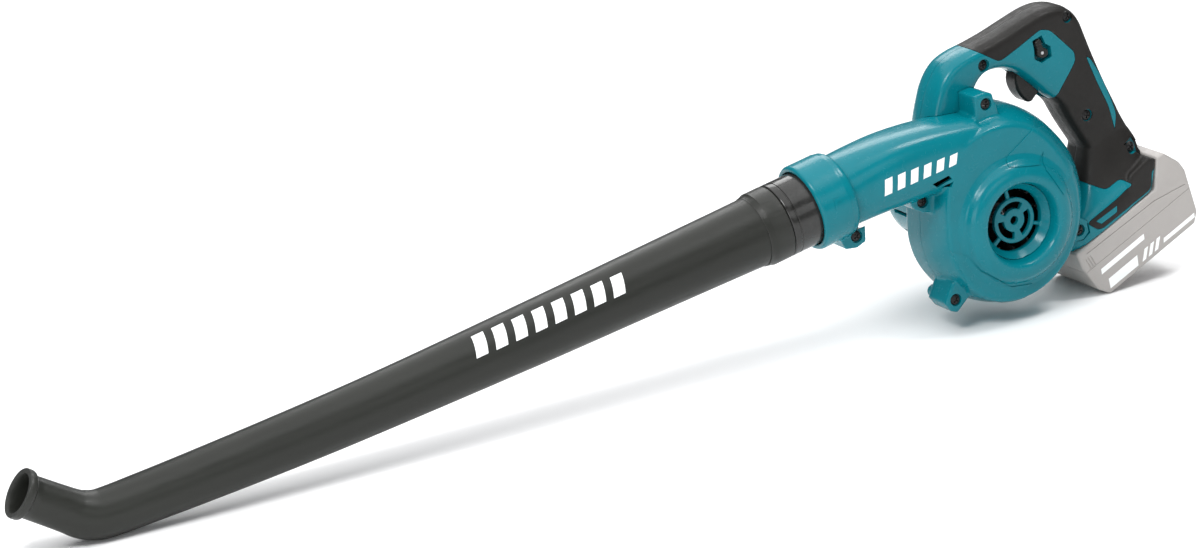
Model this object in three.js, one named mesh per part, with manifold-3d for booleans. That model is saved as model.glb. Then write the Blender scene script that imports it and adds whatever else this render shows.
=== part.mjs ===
// Cordless garden leaf blower: scroll fan casing, loop handle, slide-on battery pack and long nozzle.
// Modelled in millimetres in the tool's own frame, with the fan axle along Y through the origin,
// the nozzle towards -X and the inlet towards -Y. At the end every piece is pitched nose down
// into the stance the tool rests in and moved so the box around it stands centred on z = 0.
import * as THREE from 'three';
import { mergeVertices } from 'three/addons/utils/BufferGeometryUtils.js';
import Module from 'manifold-3d';

const wasm = await Module();
wasm.setup();

// ---- driving dimensions ----
const REST_PITCH = THREE.MathUtils.degToRad(-12.33);
const GAP = 0.3;
const SLIVER = 0.08;

const SEAM_Y = 6;
const FACE_Y = -30;
const BACK_Y = 32;
const CASING_WALL = 2.6;
const INLET_RIM_Y = -40.4;
const INLET_BORE_R = 31.9;
const INLET_BOSS_R = 52;

const DUCT_Z = 80;
const DUCT_R = 30;
const COLLAR_FRONT_X = -170;
const COLLAR_LENGTH = 34;
const COLLAR_R = 36.2;

const MOTOR_HOUSING_R = 42;
const MOTOR_HOUSING_END_Y = 120;
const MOTOR_R = 24;
const MOTOR_FRONT_Y = 40;
const MOTOR_LENGTH = 58;
const SHAFT_R = 2.5;
const IMPELLER_R = 56;

const HANDLE_Y = 26;
const HANDLE_HALF = 19;
const GRIP_SKIN = 2;
const HANDLE_WALL = 5;

const PACK_TILT = THREE.MathUtils.degToRad(13.9);
const PACK_X = 87;
const PACK_Z = -52;
const PACK_HALF = 37.5;
const CELL_R = 9;
const RAIL_TOP = 4;

const TRIGGER_HALF = 9;

const SCREW_HEAD_R = 4;
const SCREW_SHANK_R = 1.7;

// ---- materials ----
const finish = (color, roughness, metalness) => (
  new THREE.MeshStandardMaterial({ color, roughness, metalness })
);
const TEAL = finish('#0a8a9a', 0.35, 0);
const BLACK = finish('#2b2b2b', 0.55, 0);
const RUBBER = finish('#383634', 0.8, 0);
const NOZZLE = finish('#343432', 0.6, 0);
const PALE = finish('#b5afab', 0.5, 0);
const STEEL = finish('#8d9094', 0.35, 0.9);
const DARK_STEEL = finish('#26272a', 0.4, 0.8);
const COPPER = finish('#9a5a33', 0.4, 0.8);
const BOARD = finish('#1f5a3a', 0.6, 0);
const CELL = finish('#3d6fa8', 0.45, 0);

// ---- solid helpers ----
function signedVolume(points, index) {
  let sum = 0;
  const a = new THREE.Vector3();
  const b = new THREE.Vector3();
  const c = new THREE.Vector3();
  for (let i = 0; i < index.length; i += 3) {
    a.fromArray(points, 3 * index[i]);
    b.fromArray(points, 3 * index[i + 1]);
    c.fromArray(points, 3 * index[i + 2]);
    sum += a.dot(b.cross(c));
  }
  return sum / 6;
}

function solid(geometry) {
  const plain = geometry.clone();
  plain.deleteAttribute('normal');
  plain.deleteAttribute('uv');
  const merged = mergeVertices(plain, 1e-4);
  const points = merged.attributes.position.array;
  const index = [];
  const source = merged.index.array;
  for (let i = 0; i < source.length; i += 3) {
    const [a, b, c] = [source[i], source[i + 1], source[i + 2]];
    if (a !== b && b !== c && c !== a) index.push(a, b, c);
  }
  if (signedVolume(points, index) < 0) {
    for (let i = 0; i < index.length; i += 3) [index[i], index[i + 1]] = [index[i + 1], index[i]];
  }
  const mesh = new wasm.Mesh({
    numProp: 3,
    vertProperties: new Float32Array(points),
    triVerts: new Uint32Array(index),
  });
  return new wasm.Manifold(mesh);
}

const join = (...parts) => parts.reduce((whole, part) => whole.add(part));
const cut = (whole, ...parts) => parts.reduce((rest, part) => rest.subtract(part), whole);

const box = (x0, x1, y0, y1, z0, z1) => solid(
  new THREE.BoxGeometry(x1 - x0, y1 - y0, z1 - z0)
    .translate((x0 + x1) / 2, (y0 + y1) / 2, (z0 + z1) / 2),
);

// Turned piece about an axis parallel to Y: profile holds [radius, y] pairs.
const turned = (profile, x = 0, z = 0, segments = 20) => solid(
  new THREE.LatheGeometry(profile.map(([r, y]) => new THREE.Vector2(r, y)), segments).translate(x, 0, z),
);

const disc = (radius, y0, y1, x = 0, z = 0, segments = 20) => turned(
  [[0, y0], [radius, y0], [radius, y1], [0, y1]], x, z, segments,
);

const ring = (inner, outer, y0, y1, x = 0, z = 0, segments = 20) => turned(
  [[inner, y0], [outer, y0], [outer, y1], [inner, y1], [inner, y0]], x, z, segments,
);

// Flat outline in the XZ plane, given as [x, z] pairs, pushed from y0 to y1.
function prism(outline, y0, y1) {
  const shape = new THREE.Shape(outline.map(([x, z]) => new THREE.Vector2(x, z)));
  const geometry = new THREE.ExtrudeGeometry(shape, { depth: y1 - y0, bevelEnabled: false });
  return solid(geometry.rotateX(Math.PI / 2).translate(0, y1, 0));
}

// Closed skin over a stack of loops with equal point counts, flat at both ends.
function loft(rings) {
  const count = rings[0].length;
  const points = rings.flat().flatMap((p) => [p.x, p.y, p.z]);
  const index = [];
  for (let i = 0; i + 1 < rings.length; i += 1) {
    for (let j = 0; j < count; j += 1) {
      const a = i * count + j;
      const b = i * count + (j + 1) % count;
      index.push(a, b, b + count, a, b + count, a + count);
    }
  }
  for (const last of [false, true]) {
    const loop = last ? rings[rings.length - 1] : rings[0];
    const base = last ? (rings.length - 1) * count : 0;
    const normal = new THREE.Vector3();
    loop.forEach((p, j) => normal.add(new THREE.Vector3().crossVectors(p, loop[(j + 1) % count])));
    normal.normalize();
    const side = new THREE.Vector3(Math.abs(normal.x) < 0.8 ? 1 : 0, Math.abs(normal.x) < 0.8 ? 0 : 1, 0);
    side.cross(normal).normalize();
    const up = new THREE.Vector3().crossVectors(normal, side);
    const flat = loop.map((p) => new THREE.Vector2(p.dot(side), p.dot(up)));
    for (const [a, b, c] of THREE.ShapeUtils.triangulateShape(flat, [])) {
      const area = THREE.ShapeUtils.area([flat[a], flat[b], flat[c]]);
      const tri = area > 0 ? [a, b, c] : [a, c, b];
      index.push(...(last ? tri : [tri[0], tri[2], tri[1]]).map((k) => base + k));
    }
  }
  const geometry = new THREE.BufferGeometry();
  geometry.setAttribute('position', new THREE.Float32BufferAttribute(points, 3));
  geometry.setIndex(index);
  return solid(geometry);
}

function smoothLoop(points, count) {
  const knots = points.map(([x, z]) => new THREE.Vector3(x, 0, z));
  const curve = new THREE.CatmullRomCurve3(knots, true, 'centripetal');
  return curve.getSpacedPoints(count).slice(0, count).map((p) => [p.x, p.z]);
}

function inset(loop, distance) {
  const count = loop.length;
  const area = loop.reduce((sum, [x, z], i) => {
    const [nx, nz] = loop[(i + 1) % count];
    return sum + x * nz - nx * z;
  }, 0);
  const side = Math.sign(area);
  return loop.map(([x, z], i) => {
    const [px, pz] = loop[(i + count - 1) % count];
    const [nx, nz] = loop[(i + 1) % count];
    const before = new THREE.Vector2(x - px, z - pz).normalize();
    const after = new THREE.Vector2(nx - x, nz - z).normalize();
    const inward = new THREE.Vector2(-(before.y + after.y), before.x + after.x);
    inward.multiplyScalar(side).normalize();
    const square = new THREE.Vector2(-after.y, after.x).multiplyScalar(side);
    const stretch = 1 / Math.max(0.6, square.dot(inward));
    return [x + inward.x * distance * stretch, z + inward.y * distance * stretch];
  });
}

// Outline stacked along Y: levels hold [y, inset] pairs.
const layered = (outline, levels) => loft(
  levels.map(([y, distance]) => inset(outline, distance).map(([x, z]) => new THREE.Vector3(x, y, z))),
);

// Loops square to a path in the XZ plane; stations hold [x, z, radius].
function sweep(stations, segments) {
  const rings = stations.map(([x, z, radius], i) => {
    const [ax, az] = stations[Math.max(0, i - 1)];
    const [bx, bz] = stations[Math.min(stations.length - 1, i + 1)];
    const along = new THREE.Vector2(bx - ax, bz - az).normalize();
    return Array.from({ length: segments }, (_, j) => {
      const angle = (2 * Math.PI * j) / segments;
      const lift = radius * Math.sin(angle);
      return new THREE.Vector3(x - along.y * lift, radius * Math.cos(angle), z + along.x * lift);
    });
  });
  return loft(rings);
}

// ---- pieces ----
const group = new THREE.Group();
group.name = 'leaf_blower';
const pieces = [];
const place = (name, shape, material) => pieces.push({ name, shape, material });

// Battery-frame point: u along the slide rails towards the rear, w away from the pack.
const onPack = (u, w) => [
  PACK_X + u * Math.cos(PACK_TILT) - w * Math.sin(PACK_TILT),
  PACK_Z + u * Math.sin(PACK_TILT) + w * Math.cos(PACK_TILT),
];
const packBox = (u0, u1, y0, y1, w0, w1) => prism(
  [onPack(u0, w0), onPack(u1, w0), onPack(u1, w1), onPack(u0, w1)], y0, y1,
);

// Scroll outline: [degrees from +X towards +Z, radius at the seam, radius at the inlet face].
const SCROLL = [
  [0, 82, 60], [18, 84, 61], [35, 85, 64], [50, 88, 70], [64, 91, 77], [78, 93.5, 81.5], [92, 94.5, 84],
  [106, 92, 85], [122, 85, 80], [140, 77, 72], [160, 71.5, 66], [180, 72, 65], [200, 72.5, 65.5],
  [225, 74, 66], [250, 74.5, 65.5], [275, 74, 64], [300, 74, 62], [320, 74, 60.5], [338, 77, 60],
];
// Shoulder of the scroll: [y, share of the way from the face outline to the seam outline].
const SHOULDER = [[-26, 0.24], [-20, 0.45], [-14, 0.62], [-6, 0.82], [2, 0.94], [10, 1]];
const scrollLoop = (share) => smoothLoop(SCROLL.map(([angle, seam, face]) => {
  const a = THREE.MathUtils.degToRad(angle);
  const radius = face + (seam - face) * share;
  return [radius * Math.cos(a), radius * Math.sin(a)];
}), 36);
const scrollBody = (grow) => loft([
  [FACE_Y - grow, 0, 0],
  ...SHOULDER.map(([y, share]) => [y, share, 0]),
  [BACK_Y - 5, 1, 0],
  [BACK_Y + grow, 1, 4],
].map(([y, share, step]) => (
  inset(scrollLoop(share), step - grow).map(([x, z]) => new THREE.Vector3(x, y, z))
)));

// Outlet duct: stations hold [x, bottom z, top z, half width, corner power].
const DUCT = [
  [-160, 50, 110, 30, 2], [-140, 50, 110.4, 30, 2.1], [-112, 50, 110, 30, 2.5],
  [-84, 49, 108.5, 30, 2.9], [-56, 46, 105, 30, 3], [-30, 42, 100, 30, 3], [-8, 38, 95, 29.5, 3],
];
const ductBody = (grow, stretch = 0) => loft(DUCT.map(([x, low, high, half, power], i) => {
  const middle = (low + high) / 2;
  const tall = (high - low) / 2 + grow;
  const wide = half + grow;
  const at = x - (i === 0 ? stretch : 0);
  return Array.from({ length: 24 }, (_, j) => {
    const angle = (2 * Math.PI * j) / 24;
    const c = Math.cos(angle);
    const s = Math.sin(angle);
    const y = wide * Math.sign(c) * Math.abs(c) ** (2 / power);
    const z = middle + tall * Math.sign(s) * Math.abs(s) ** (2 / power);
    return new THREE.Vector3(at, y, z);
  });
}));

// Screw places: x, head face y, z, hole depth.
const COVER_SCREWS = [
  ['cover_screw_top', 5.5, -16, 101, 34],
  ['cover_screw_bottom', -67, -16, -44.5, 34],
  ['cover_screw_left', -70, -10, 45, 30],
  ['cover_screw_right', 64.6, -8, -41.5, 28],
];
const boss = (x, z, radius, y0, y1) => disc(radius, y0, y1, x, z, 14);

const TOP_LUG = [[-7, 92], [-3, 111], [8, 110.5], [14, 107], [15, 88], [-7, 86]];
const BOTTOM_LUG = [[-66, -30], [-77, -44], [-73, -53], [-68, -56], [-58, -50], [-50, -45], [-55, -30]];
const RIGHT_EAR = [[52, -26], [68, -31], [74, -37], [73, -47], [66, -51], [54, -49], [44, -38]];
const LEFT_LUG = [[-82, 52], [-79, 42], [-72, 36], [-58, 30], [-58, 52]];

const casingSolid = join(
  scrollBody(0),
  ductBody(0),
  prism(TOP_LUG, -18, BACK_Y - 12),
  prism(BOTTOM_LUG, -18, BACK_Y - 22),
  prism(LEFT_LUG, -12.5, BACK_Y - 8),
);
const inletBoss = turned([
  [0, FACE_Y + 4], [INLET_BOSS_R + 3, FACE_Y + 4], [INLET_BOSS_R + 3, FACE_Y - 0.8],
  [INLET_BOSS_R, FACE_Y - 1.2],
  [50.5, -34], [48, -37], [44, -39.4], [39, INLET_RIM_Y], [0, INLET_RIM_Y],
], 0, 0, 30);
const casingCavity = join(scrollBody(-CASING_WALL), ductBody(-CASING_WALL, 4));
const screwHole = ([, x, y, z, depth]) => join(
  disc(SCREW_HEAD_R + 1.6, y - 12, y, x, z, 16),
  disc(SCREW_SHANK_R + 0.4, y - 1, y + depth, x, z, 10),
);
const screwColumn = ([, x, y, z], y1) => boss(x, z, 5.2, y, y1);
const shell = cut(
  join(
    cut(join(casingSolid, inletBoss), casingCavity),
    screwColumn(COVER_SCREWS[0], 18),
    screwColumn(COVER_SCREWS[1], 18),
    screwColumn(COVER_SCREWS[2], 18),
  ),
  disc(INLET_BORE_R, -60, FACE_Y + 8, 0, 0, 30),
  ...COVER_SCREWS.map(screwHole),
);

const SLOT_A = [[-65.5, 62.5], [-49.5, 63.5], [-47.5, 59.5], [-61, 57]];
const SLOT_B = [[-57.5, 55], [-47, 57.5], [-50, 53.5]];
const frontSide = box(-220, 130, -70, SEAM_Y, -120, 160);
const backSide = box(-220, 130, SEAM_Y + 0.02, 60, -120, 160);
place('inlet_cover', cut(
  shell.intersect(frontSide),
  prism(SLOT_A, -34, -26),
  prism(SLOT_B, -34, -26),
), TEAL);

const motorOpening = disc(30, 20, 40, 0, 0, 40);
const EAR_Y = -10;
const rightEar = join(
  cut(prism(RIGHT_EAR, SEAM_Y + 1, BACK_Y - 6), scrollBody(-1)),
  cut(prism(RIGHT_EAR, EAR_Y, BACK_Y - 6), scrollBody(GAP)),
);
place('scroll_back', cut(
  join(shell.intersect(backSide), cut(rightEar, screwHole(COVER_SCREWS[3]))),
  motorOpening,
), TEAL);

// Inlet guard: slotted hub held by three struts in a thin ring.
const guardSlots = [90, 210, 330].map((middle) => {
  const steps = Array.from({ length: 6 }, (_, i) => THREE.MathUtils.degToRad(middle - 45 + i * 18));
  return prism([
    ...steps.map((a) => [15.5 * Math.cos(a), 15.5 * Math.sin(a)]),
    ...steps.reverse().map((a) => [9.5 * Math.cos(a), 9.5 * Math.sin(a)]),
  ], -30, -18);
});
const guardStruts = [30, 150, 270].map((angle) => {
  const arm = box(17, 30.4, -25, -21, -1.8, 1.8);
  return arm.rotate([0, angle, 0]);
});
place('inlet_guard', cut(
  join(
    disc(19.6, -26, -22.5, 0, 0, 36),
    ring(29.8, INLET_BORE_R - GAP, -25, -19, 0, 0, 30),
    ...guardStruts,
  ),
  disc(3.4, -30, -18, 0, 0, 16),
  ...guardSlots,
), TEAL);

// Collar clamped over the end of the duct, with its own lug and screw.
const alongX = (geometry) => geometry.rotateZ(Math.PI / 2);
const tubeX = (profile, z, segments = 30) => {
  const line = profile.map(([r, x]) => new THREE.Vector2(r, -x));
  return solid(alongX(new THREE.LatheGeometry(line, segments)).translate(0, 0, z));
};
const collarEnd = COLLAR_FRONT_X + COLLAR_LENGTH;
const COLLAR_SCREW = ['collar_screw', -137, -14, 44.5, 26];
const COLLAR_LUG = [[-152, 52], [-149, 38], [-139, 35], [-130, 37], [-126, 52]];
const collarRing = tubeX([
  [31.6, COLLAR_FRONT_X], [COLLAR_R - 1.5, COLLAR_FRONT_X], [COLLAR_R, COLLAR_FRONT_X + 2],
  [COLLAR_R, collarEnd - 6],
  [COLLAR_R - 2.5, collarEnd], [31.6, collarEnd], [31.6, COLLAR_FRONT_X],
], DUCT_Z);
place('outlet_collar', cut(
  join(collarRing, cut(prism(COLLAR_LUG, -16, 8), ductBody(1))),
  screwHole(COLLAR_SCREW),
  ductBody(GAP),
), TEAL);

// Motor housing on the far side, vented at its end.
const housingOuter = turned([
  [0, BACK_Y + GAP], [48, BACK_Y + GAP], [MOTOR_HOUSING_R + 1, 50], [MOTOR_HOUSING_R, 100], [40, 112],
  [35, 118], [30, MOTOR_HOUSING_END_Y], [0, MOTOR_HOUSING_END_Y],
], 0, 0, 30);
const housingInner = turned([
  [0, BACK_Y - 4], [40, BACK_Y - 4], [39, 100], [37, 110], [32, 116], [0, 117],
], 0, 0, 30);
const endSlots = [-18, -9, 0, 9, 18].map((z) => {
  const reach = Math.sqrt(26 ** 2 - z ** 2);
  return box(-reach, reach, 108, 130, z - 1.6, z + 1.6);
});
const sideSlots = [120, 150, 180, 210, 240].map((angle) => (
  box(30, 50, 74, 98, -2, 2).rotate([0, angle, 0])
));
place('motor_housing', cut(housingOuter, housingInner, ...endSlots, ...sideSlots), TEAL);

// Motor and fan.
const motorEnd = MOTOR_FRONT_Y + MOTOR_LENGTH;
place('motor_can', ring(MOTOR_R - 1.6, MOTOR_R, MOTOR_FRONT_Y, motorEnd), STEEL);
place(
  'magnet_ring',
  ring(MOTOR_R - 5.2, MOTOR_R - 1.6 - GAP, MOTOR_FRONT_Y + 8, motorEnd - 12),
  DARK_STEEL,
);
place('motor_plate', cut(
  join(disc(38.5, BACK_Y + 3, MOTOR_FRONT_Y - GAP), ring(24.4, 27, MOTOR_FRONT_Y - 1, MOTOR_FRONT_Y + 6)),
  disc(6.4, 0, 60, 0, 0, 24),
), TEAL);
place('motor_front_bell', cut(
  disc(MOTOR_R - 1.6 - GAP, MOTOR_FRONT_Y + 1, MOTOR_FRONT_Y + 6),
  disc(6, 0, 60, 0, 0, 24),
), STEEL);
place('motor_end_bell', cut(
  join(disc(MOTOR_R, motorEnd + GAP, motorEnd + 5), ring(6, 9, motorEnd + 4, motorEnd + 8)),
  disc(5.9, 60, 120, 0, 0, 24),
), BLACK);
place('front_bearing', ring(SHAFT_R + 0.2, 5.7, MOTOR_FRONT_Y + 1.2, MOTOR_FRONT_Y + 5.8, 0, 0, 24), STEEL);
place('rear_bearing', ring(SHAFT_R + 0.2, 5.6, motorEnd + 1.5, motorEnd + 6.5, 0, 0, 24), STEEL);
place('rotor_shaft', disc(SHAFT_R, -8, motorEnd + 8, 0, 0, 20), STEEL);
place('armature', ring(SHAFT_R + 0.05, 17.5, MOTOR_FRONT_Y + 12, motorEnd - 16, 0, 0, 32), COPPER);
place('commutator', ring(SHAFT_R + 0.05, 8, motorEnd - 12, motorEnd - 2, 0, 0, 20), COPPER);
for (const [name, side] of [['brush_top', 1], ['brush_bottom', -1]]) {
  const inner = side * 8.4;
  const outer = side * 17;
  const low = Math.min(inner, outer);
  const high = Math.max(inner, outer);
  place(name, box(-2.5, 2.5, motorEnd - 10, motorEnd - 4, low, high), DARK_STEEL);
}

// Impeller with eleven backward-swept blades on a disc.
const blade = (turn) => {
  const steps = [0, 1, 2, 3];
  const line = steps.map((k) => {
    const radius = 25 + (IMPELLER_R - 26) * (k / 3);
    const angle = turn - 0.5 * (k / 3) ** 1.2;
    return [radius * Math.cos(angle), radius * Math.sin(angle)];
  });
  const other = steps.reverse().map((k) => {
    const radius = 25 + (IMPELLER_R - 26) * (k / 3);
    const angle = turn - 0.5 * (k / 3) ** 1.2 + 1.6 / radius;
    return [radius * Math.cos(angle), radius * Math.sin(angle)];
  });
  return prism([...line, ...other], -18, 19);
};
const blades = Array.from({ length: 11 }, (_, i) => blade((2 * Math.PI * i) / 11));
place('impeller', cut(
  join(
    turned([[0, 4], [9, 4], [10, 12], [20, 17], [IMPELLER_R, 18], [IMPELLER_R, 20], [0, 20]], 0, 0, 24),
    ...blades,
    ring(46, IMPELLER_R, -18, -16.5, 0, 0, 30),
  ),
  disc(SHAFT_R + 0.05, -30, 40, 0, 0, 20),
), BLACK);
place('impeller_nut', cut(disc(5, -1, 3.7, 0, 0, 6), disc(SHAFT_R + 0.05, -10, 10, 0, 0, 20)), STEEL);

// Handle loop and flared foot.
const HANDLE_OUTLINE = [
  [-41, 66], [-40, 78], [-37, 88], [-33, 97], [-27, 108], [-20, 119], [-10, 129], [0, 134.5], [12, 137],
  [28, 137.5], [48, 139], [70, 142], [88, 144], [102, 143], [114, 138], [122, 130], [126, 121], [128, 108],
  [130, 94], [133, 76], [136, 60], [140, 42], [143, 28], [147, 14], [150, 0], [146, -16], [132, -22],
  [116, -18], [107, -6], [103, 8], [99, 20], [94, 34], [90, 47], [87, 58], [82, 66], [76, 72.5], [70, 82],
  [63, 92], [57, 100], [50, 106.5], [42, 110.5], [34, 112.5], [26, 112], [19, 108], [13, 101], [9, 92],
  [6, 80], [4, 66], [-2, 56], [-18, 52], [-34, 56],
];
const handleLoop = smoothLoop(HANDLE_OUTLINE, 46);
const handleBody = (depth) => layered(handleLoop, [
  [-HANDLE_HALF + depth, 7 + depth * 0.6], [-16.5 + depth * 0.8, 3 + depth * 0.8], [-12, 1 + depth],
  [-6, depth], [6, depth], [12, 1 + depth], [16.5 - depth * 0.8, 3 + depth * 0.8],
  [HANDLE_HALF - depth, 7 + depth * 0.6],
].map(([y, distance]) => [HANDLE_Y + y, distance]));

// Foot levels: w, first u, last u, half width.
const FOOT = [
  [GAP, -36, 54, 37], [7, -38, 60, 37.5], [14, -36, 65, 37], [20, -28, 69, 35], [27, -10, 72, 31],
  [36, 6, 74, 26], [48, 20, 74, 21.5], [60, 30, 72, 18.5],
];
const footBody = (depth) => loft(FOOT.map(([w, u0, u1, half], i) => {
  const middle = (u0 + u1) / 2;
  const long = (u1 - u0) / 2 - depth;
  const wide = half - depth;
  const level = w + (i === FOOT.length - 1 ? -depth : 0);
  return Array.from({ length: 20 }, (_, j) => {
    const angle = (2 * Math.PI * j) / 20;
    const c = Math.cos(angle);
    const s = Math.sin(angle);
    const [x, z] = onPack(middle + long * Math.sign(c) * Math.abs(c) ** 0.45, level);
    return new THREE.Vector3(x, HANDLE_Y + wide * Math.sign(s) * Math.abs(s) ** 0.45, z);
  });
}));

// Web that ties the foot to the far side of the casing.
const WEB = [[30, -34], [52, -46], [70, -44], [88, -24], [70, -14], [52, -8], [38, -8]];
const web = prism(WEB, BACK_Y + 6, HANDLE_Y + 32);
const casingClear = join(
  scrollBody(GAP),
  ductBody(GAP),
  prism(inset(TOP_LUG, -GAP), -40, BACK_Y - 12 + GAP),
  prism(inset(BOTTOM_LUG, -GAP), -40, BACK_Y),
  prism(inset(RIGHT_EAR, -GAP), -40, BACK_Y - 6 + GAP),
);
const housingClear = turned([
  [0, 20], [48 + GAP, 20], [48 + GAP, BACK_Y + GAP], [MOTOR_HOUSING_R + 1 + GAP, 50],
  [MOTOR_HOUSING_R + GAP, 130], [0, 130],
], 0, 0, 30);

// Soft skin covers the top bar, the grip and the upper foot; the rest stays hard teal.
const SKIN = [
  [15, 160], [15, 144], [41, 119.5], [60, 123.5], [85, 130], [94, 125.5], [104, 110], [111, 99], [110, 91],
  [102, 83.5], [94, 77], [86, 70], [79, 64], [60, 58], [60, 2], [78, -2], [101, -21],
  [119, -13], [126, -20],
  [146, -20], [190, -12], [190, 160],
];
const INLAY = [
  [120, 91], [124, 88], [131.5, 68], [134.5, 49], [135.5, 32], [130, 18], [129.5, 41], [124, 67],
];
const skinRegion = cut(prism(SKIN, -60, 110), prism(INLAY, -60, 110));
const skinClear = cut(
  prism(inset(SKIN, -GAP), -60, 110),
  prism(inset(INLAY, GAP), -60, 110),
);
const outerForm = join(handleBody(0), footBody(0));
const innerForm = join(handleBody(GRIP_SKIN), footBody(GRIP_SKIN));
const coreForm = join(handleBody(GRIP_SKIN + GAP), footBody(GRIP_SKIN + GAP));
const hollow = join(
  handleBody(HANDLE_WALL),
  footBody(HANDLE_WALL),
  packBox(-20, 46, HANDLE_Y - 24, HANDLE_Y + 24, -10, 20),
  packBox(-22, 90, HANDLE_Y - 21, HANDLE_Y + 21, -10, RAIL_TOP + 0.8),
);

// Trigger path and the places of the small parts in the handle.
const TRIGGER = [
  [57, 94.5], [56, 88], [57, 81.5], [59.5, 75.5], [63, 71], [67, 70], [71, 72.5], [76, 75],
  [82, 79], [85, 84], [78, 94], [70, 102], [62, 101],
];
const triggerWell = prism(
  [[48, 66], [80, 66], [93, 80], [90, 102], [68, 111], [55, 103]],
  HANDLE_Y - TRIGGER_HALF - 0.6, HANDLE_Y + TRIGGER_HALF + 0.6,
);
const LEVER_WELL = [[73, 124], [86, 125], [92, 112], [88, 102], [77, 102], [71, 110]];
const leverWell = prism(LEVER_WELL, HANDLE_Y - 30, HANDLE_Y - 12.5);
const HANDLE_SCREWS = [
  ['handle_screw_front', 26, 10.5, 122, 30],
  ['handle_screw_top', 113, 10.5, 129.5, 30],
  ['handle_screw_grip', 108, 9.5, 42, 30],
  ['handle_screw_rear', 139, 6, 0, 34],
];
const handleColumns = join(...HANDLE_SCREWS.map(([, x, y, z]) => boss(x, z, 5.6, y, HANDLE_Y + 16)));
const handleHoles = HANDLE_SCREWS.map(([, x, y, z, depth]) => join(
  disc(SCREW_HEAD_R + 1.4, y - 30, y, x, z, 14),
  disc(SCREW_SHANK_R + 0.4, y - 1, y + depth, x, z, 10),
));
const RECESS = [[133, 5], [142, 8], [158, -8], [154, -15], [146, -11]];
const recessSlope = prism(RECESS, HANDLE_Y - 40, HANDLE_Y - 14);

const hardForm = cut(
  join(cut(join(cut(outerForm, skinClear), coreForm, web), hollow), handleColumns.intersect(coreForm)),
  casingClear,
  housingClear,
  triggerWell,
  leverWell,
  recessSlope,
  ...handleHoles,
);
const skinForm = cut(
  cut(outerForm, innerForm).intersect(skinRegion),
  casingClear,
  housingClear,
  triggerWell,
  recessSlope,
  ...handleHoles,
);
const nearSide = box(-200, 250, -100, HANDLE_Y - 0.01, -160, 200);
const farSide = box(-200, 250, HANDLE_Y + 0.01, 160, -160, 200);
const largest = (shape) => shape.decompose().sort((a, b) => b.volume() - a.volume())[0];
place('handle_half_near', largest(hardForm.intersect(nearSide)), TEAL);
place('handle_half_far', largest(hardForm.intersect(farSide)), TEAL);
place('grip_skin_near', largest(skinForm.intersect(nearSide)), RUBBER);
place('grip_skin_far', largest(skinForm.intersect(farSide)), RUBBER);

// Trigger, switch and lock lever.
const triggerLoop = smoothLoop(TRIGGER, 40);
place('trigger', cut(
  layered(triggerLoop, [
    [-TRIGGER_HALF, 1.6], [-TRIGGER_HALF + 2, 0.2], [TRIGGER_HALF - 2, 0.2], [TRIGGER_HALF, 1.6],
  ].map(([y, distance]) => [HANDLE_Y + y, distance])),
  prism([[70, 83], [90, 83], [90, 92], [70, 92]], HANDLE_Y - 4, HANDLE_Y + 4),
), BLACK);
const springLine = new THREE.LineCurve3(
  new THREE.Vector3(71, HANDLE_Y, 87.5),
  new THREE.Vector3(89.5, HANDLE_Y, 87.5),
);
class Coil extends THREE.Curve {
  constructor(line, radius, turns) {
    super();
    this.line = line;
    this.radius = radius;
    this.turns = turns;
  }

  getPoint(t, target = new THREE.Vector3()) {
    const angle = 2 * Math.PI * this.turns * t;
    this.line.getPoint(t, target);
    const side = new THREE.Vector3().subVectors(this.line.v2, this.line.v1).normalize();
    const across = new THREE.Vector3(0, 1, 0);
    const other = new THREE.Vector3().crossVectors(side, across);
    target.addScaledVector(across, this.radius * Math.cos(angle));
    return target.addScaledVector(other, this.radius * Math.sin(angle));
  }
}
const wire = (line, radius, turns, thickness) => {
  const dot = new THREE.Shape(Array.from({ length: 4 }, (_, i) => new THREE.Vector2(
    thickness * Math.cos((2 * Math.PI * i) / 4),
    thickness * Math.sin((2 * Math.PI * i) / 4),
  )));
  return solid(new THREE.ExtrudeGeometry(dot, {
    steps: turns * 7, extrudePath: new Coil(line, radius, turns), bevelEnabled: false,
  }));
};
place('trigger_spring', wire(springLine, 2.4, 5, 0.35), STEEL);
place('switch_body', box(90, 104, HANDLE_Y - 9, HANDLE_Y + 9, 76, 104), BLACK);
const LOCK_LEVER = [
  [77.5, 121], [82.5, 122], [83.5, 115], [87, 111], [86, 106.5], [80.5, 105.5], [76.5, 109], [77.5, 114],
];
place('lock_lever', cut(
  join(
    layered(smoothLoop(LOCK_LEVER, 28), [
      [HANDLE_Y - 19.6, 0.9], [HANDLE_Y - 18.4, 0], [HANDLE_Y - 15.5, 0],
    ]),
    disc(3.4, HANDLE_Y - 15.6, HANDLE_Y - 13, 81.5, 110, 20),
  ),
  disc(1.6, HANDLE_Y - 30, HANDLE_Y, 81.5, 110, 16),
), BLACK);
place('lock_lever_pin', disc(1.4, HANDLE_Y - 19, HANDLE_Y - 12.7, 81.5, 110, 16), STEEL);
place('control_board', packBox(52, 55, HANDLE_Y - 11, HANDLE_Y + 11, 34, 84), BOARD);
place('terminal_block', packBox(6, 34, HANDLE_Y - 18, HANDLE_Y + 18, 5.5, 14), BLACK);

// Screws.
const screw = ([name, x, y, z, depth]) => {
  const body = join(
    turned([[0, y - 2.2], [2.6, y - 2.2], [3.7, y - 1.6], [SCREW_HEAD_R, y - 0.2], [0, y - 0.2]], x, z, 12),
    disc(SCREW_SHANK_R, y - 0.4, y + depth - 8, x, z, 8),
  );
  place(name, body, DARK_STEEL);
};
[...COVER_SCREWS, COLLAR_SCREW, ...HANDLE_SCREWS].forEach(screw);

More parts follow.
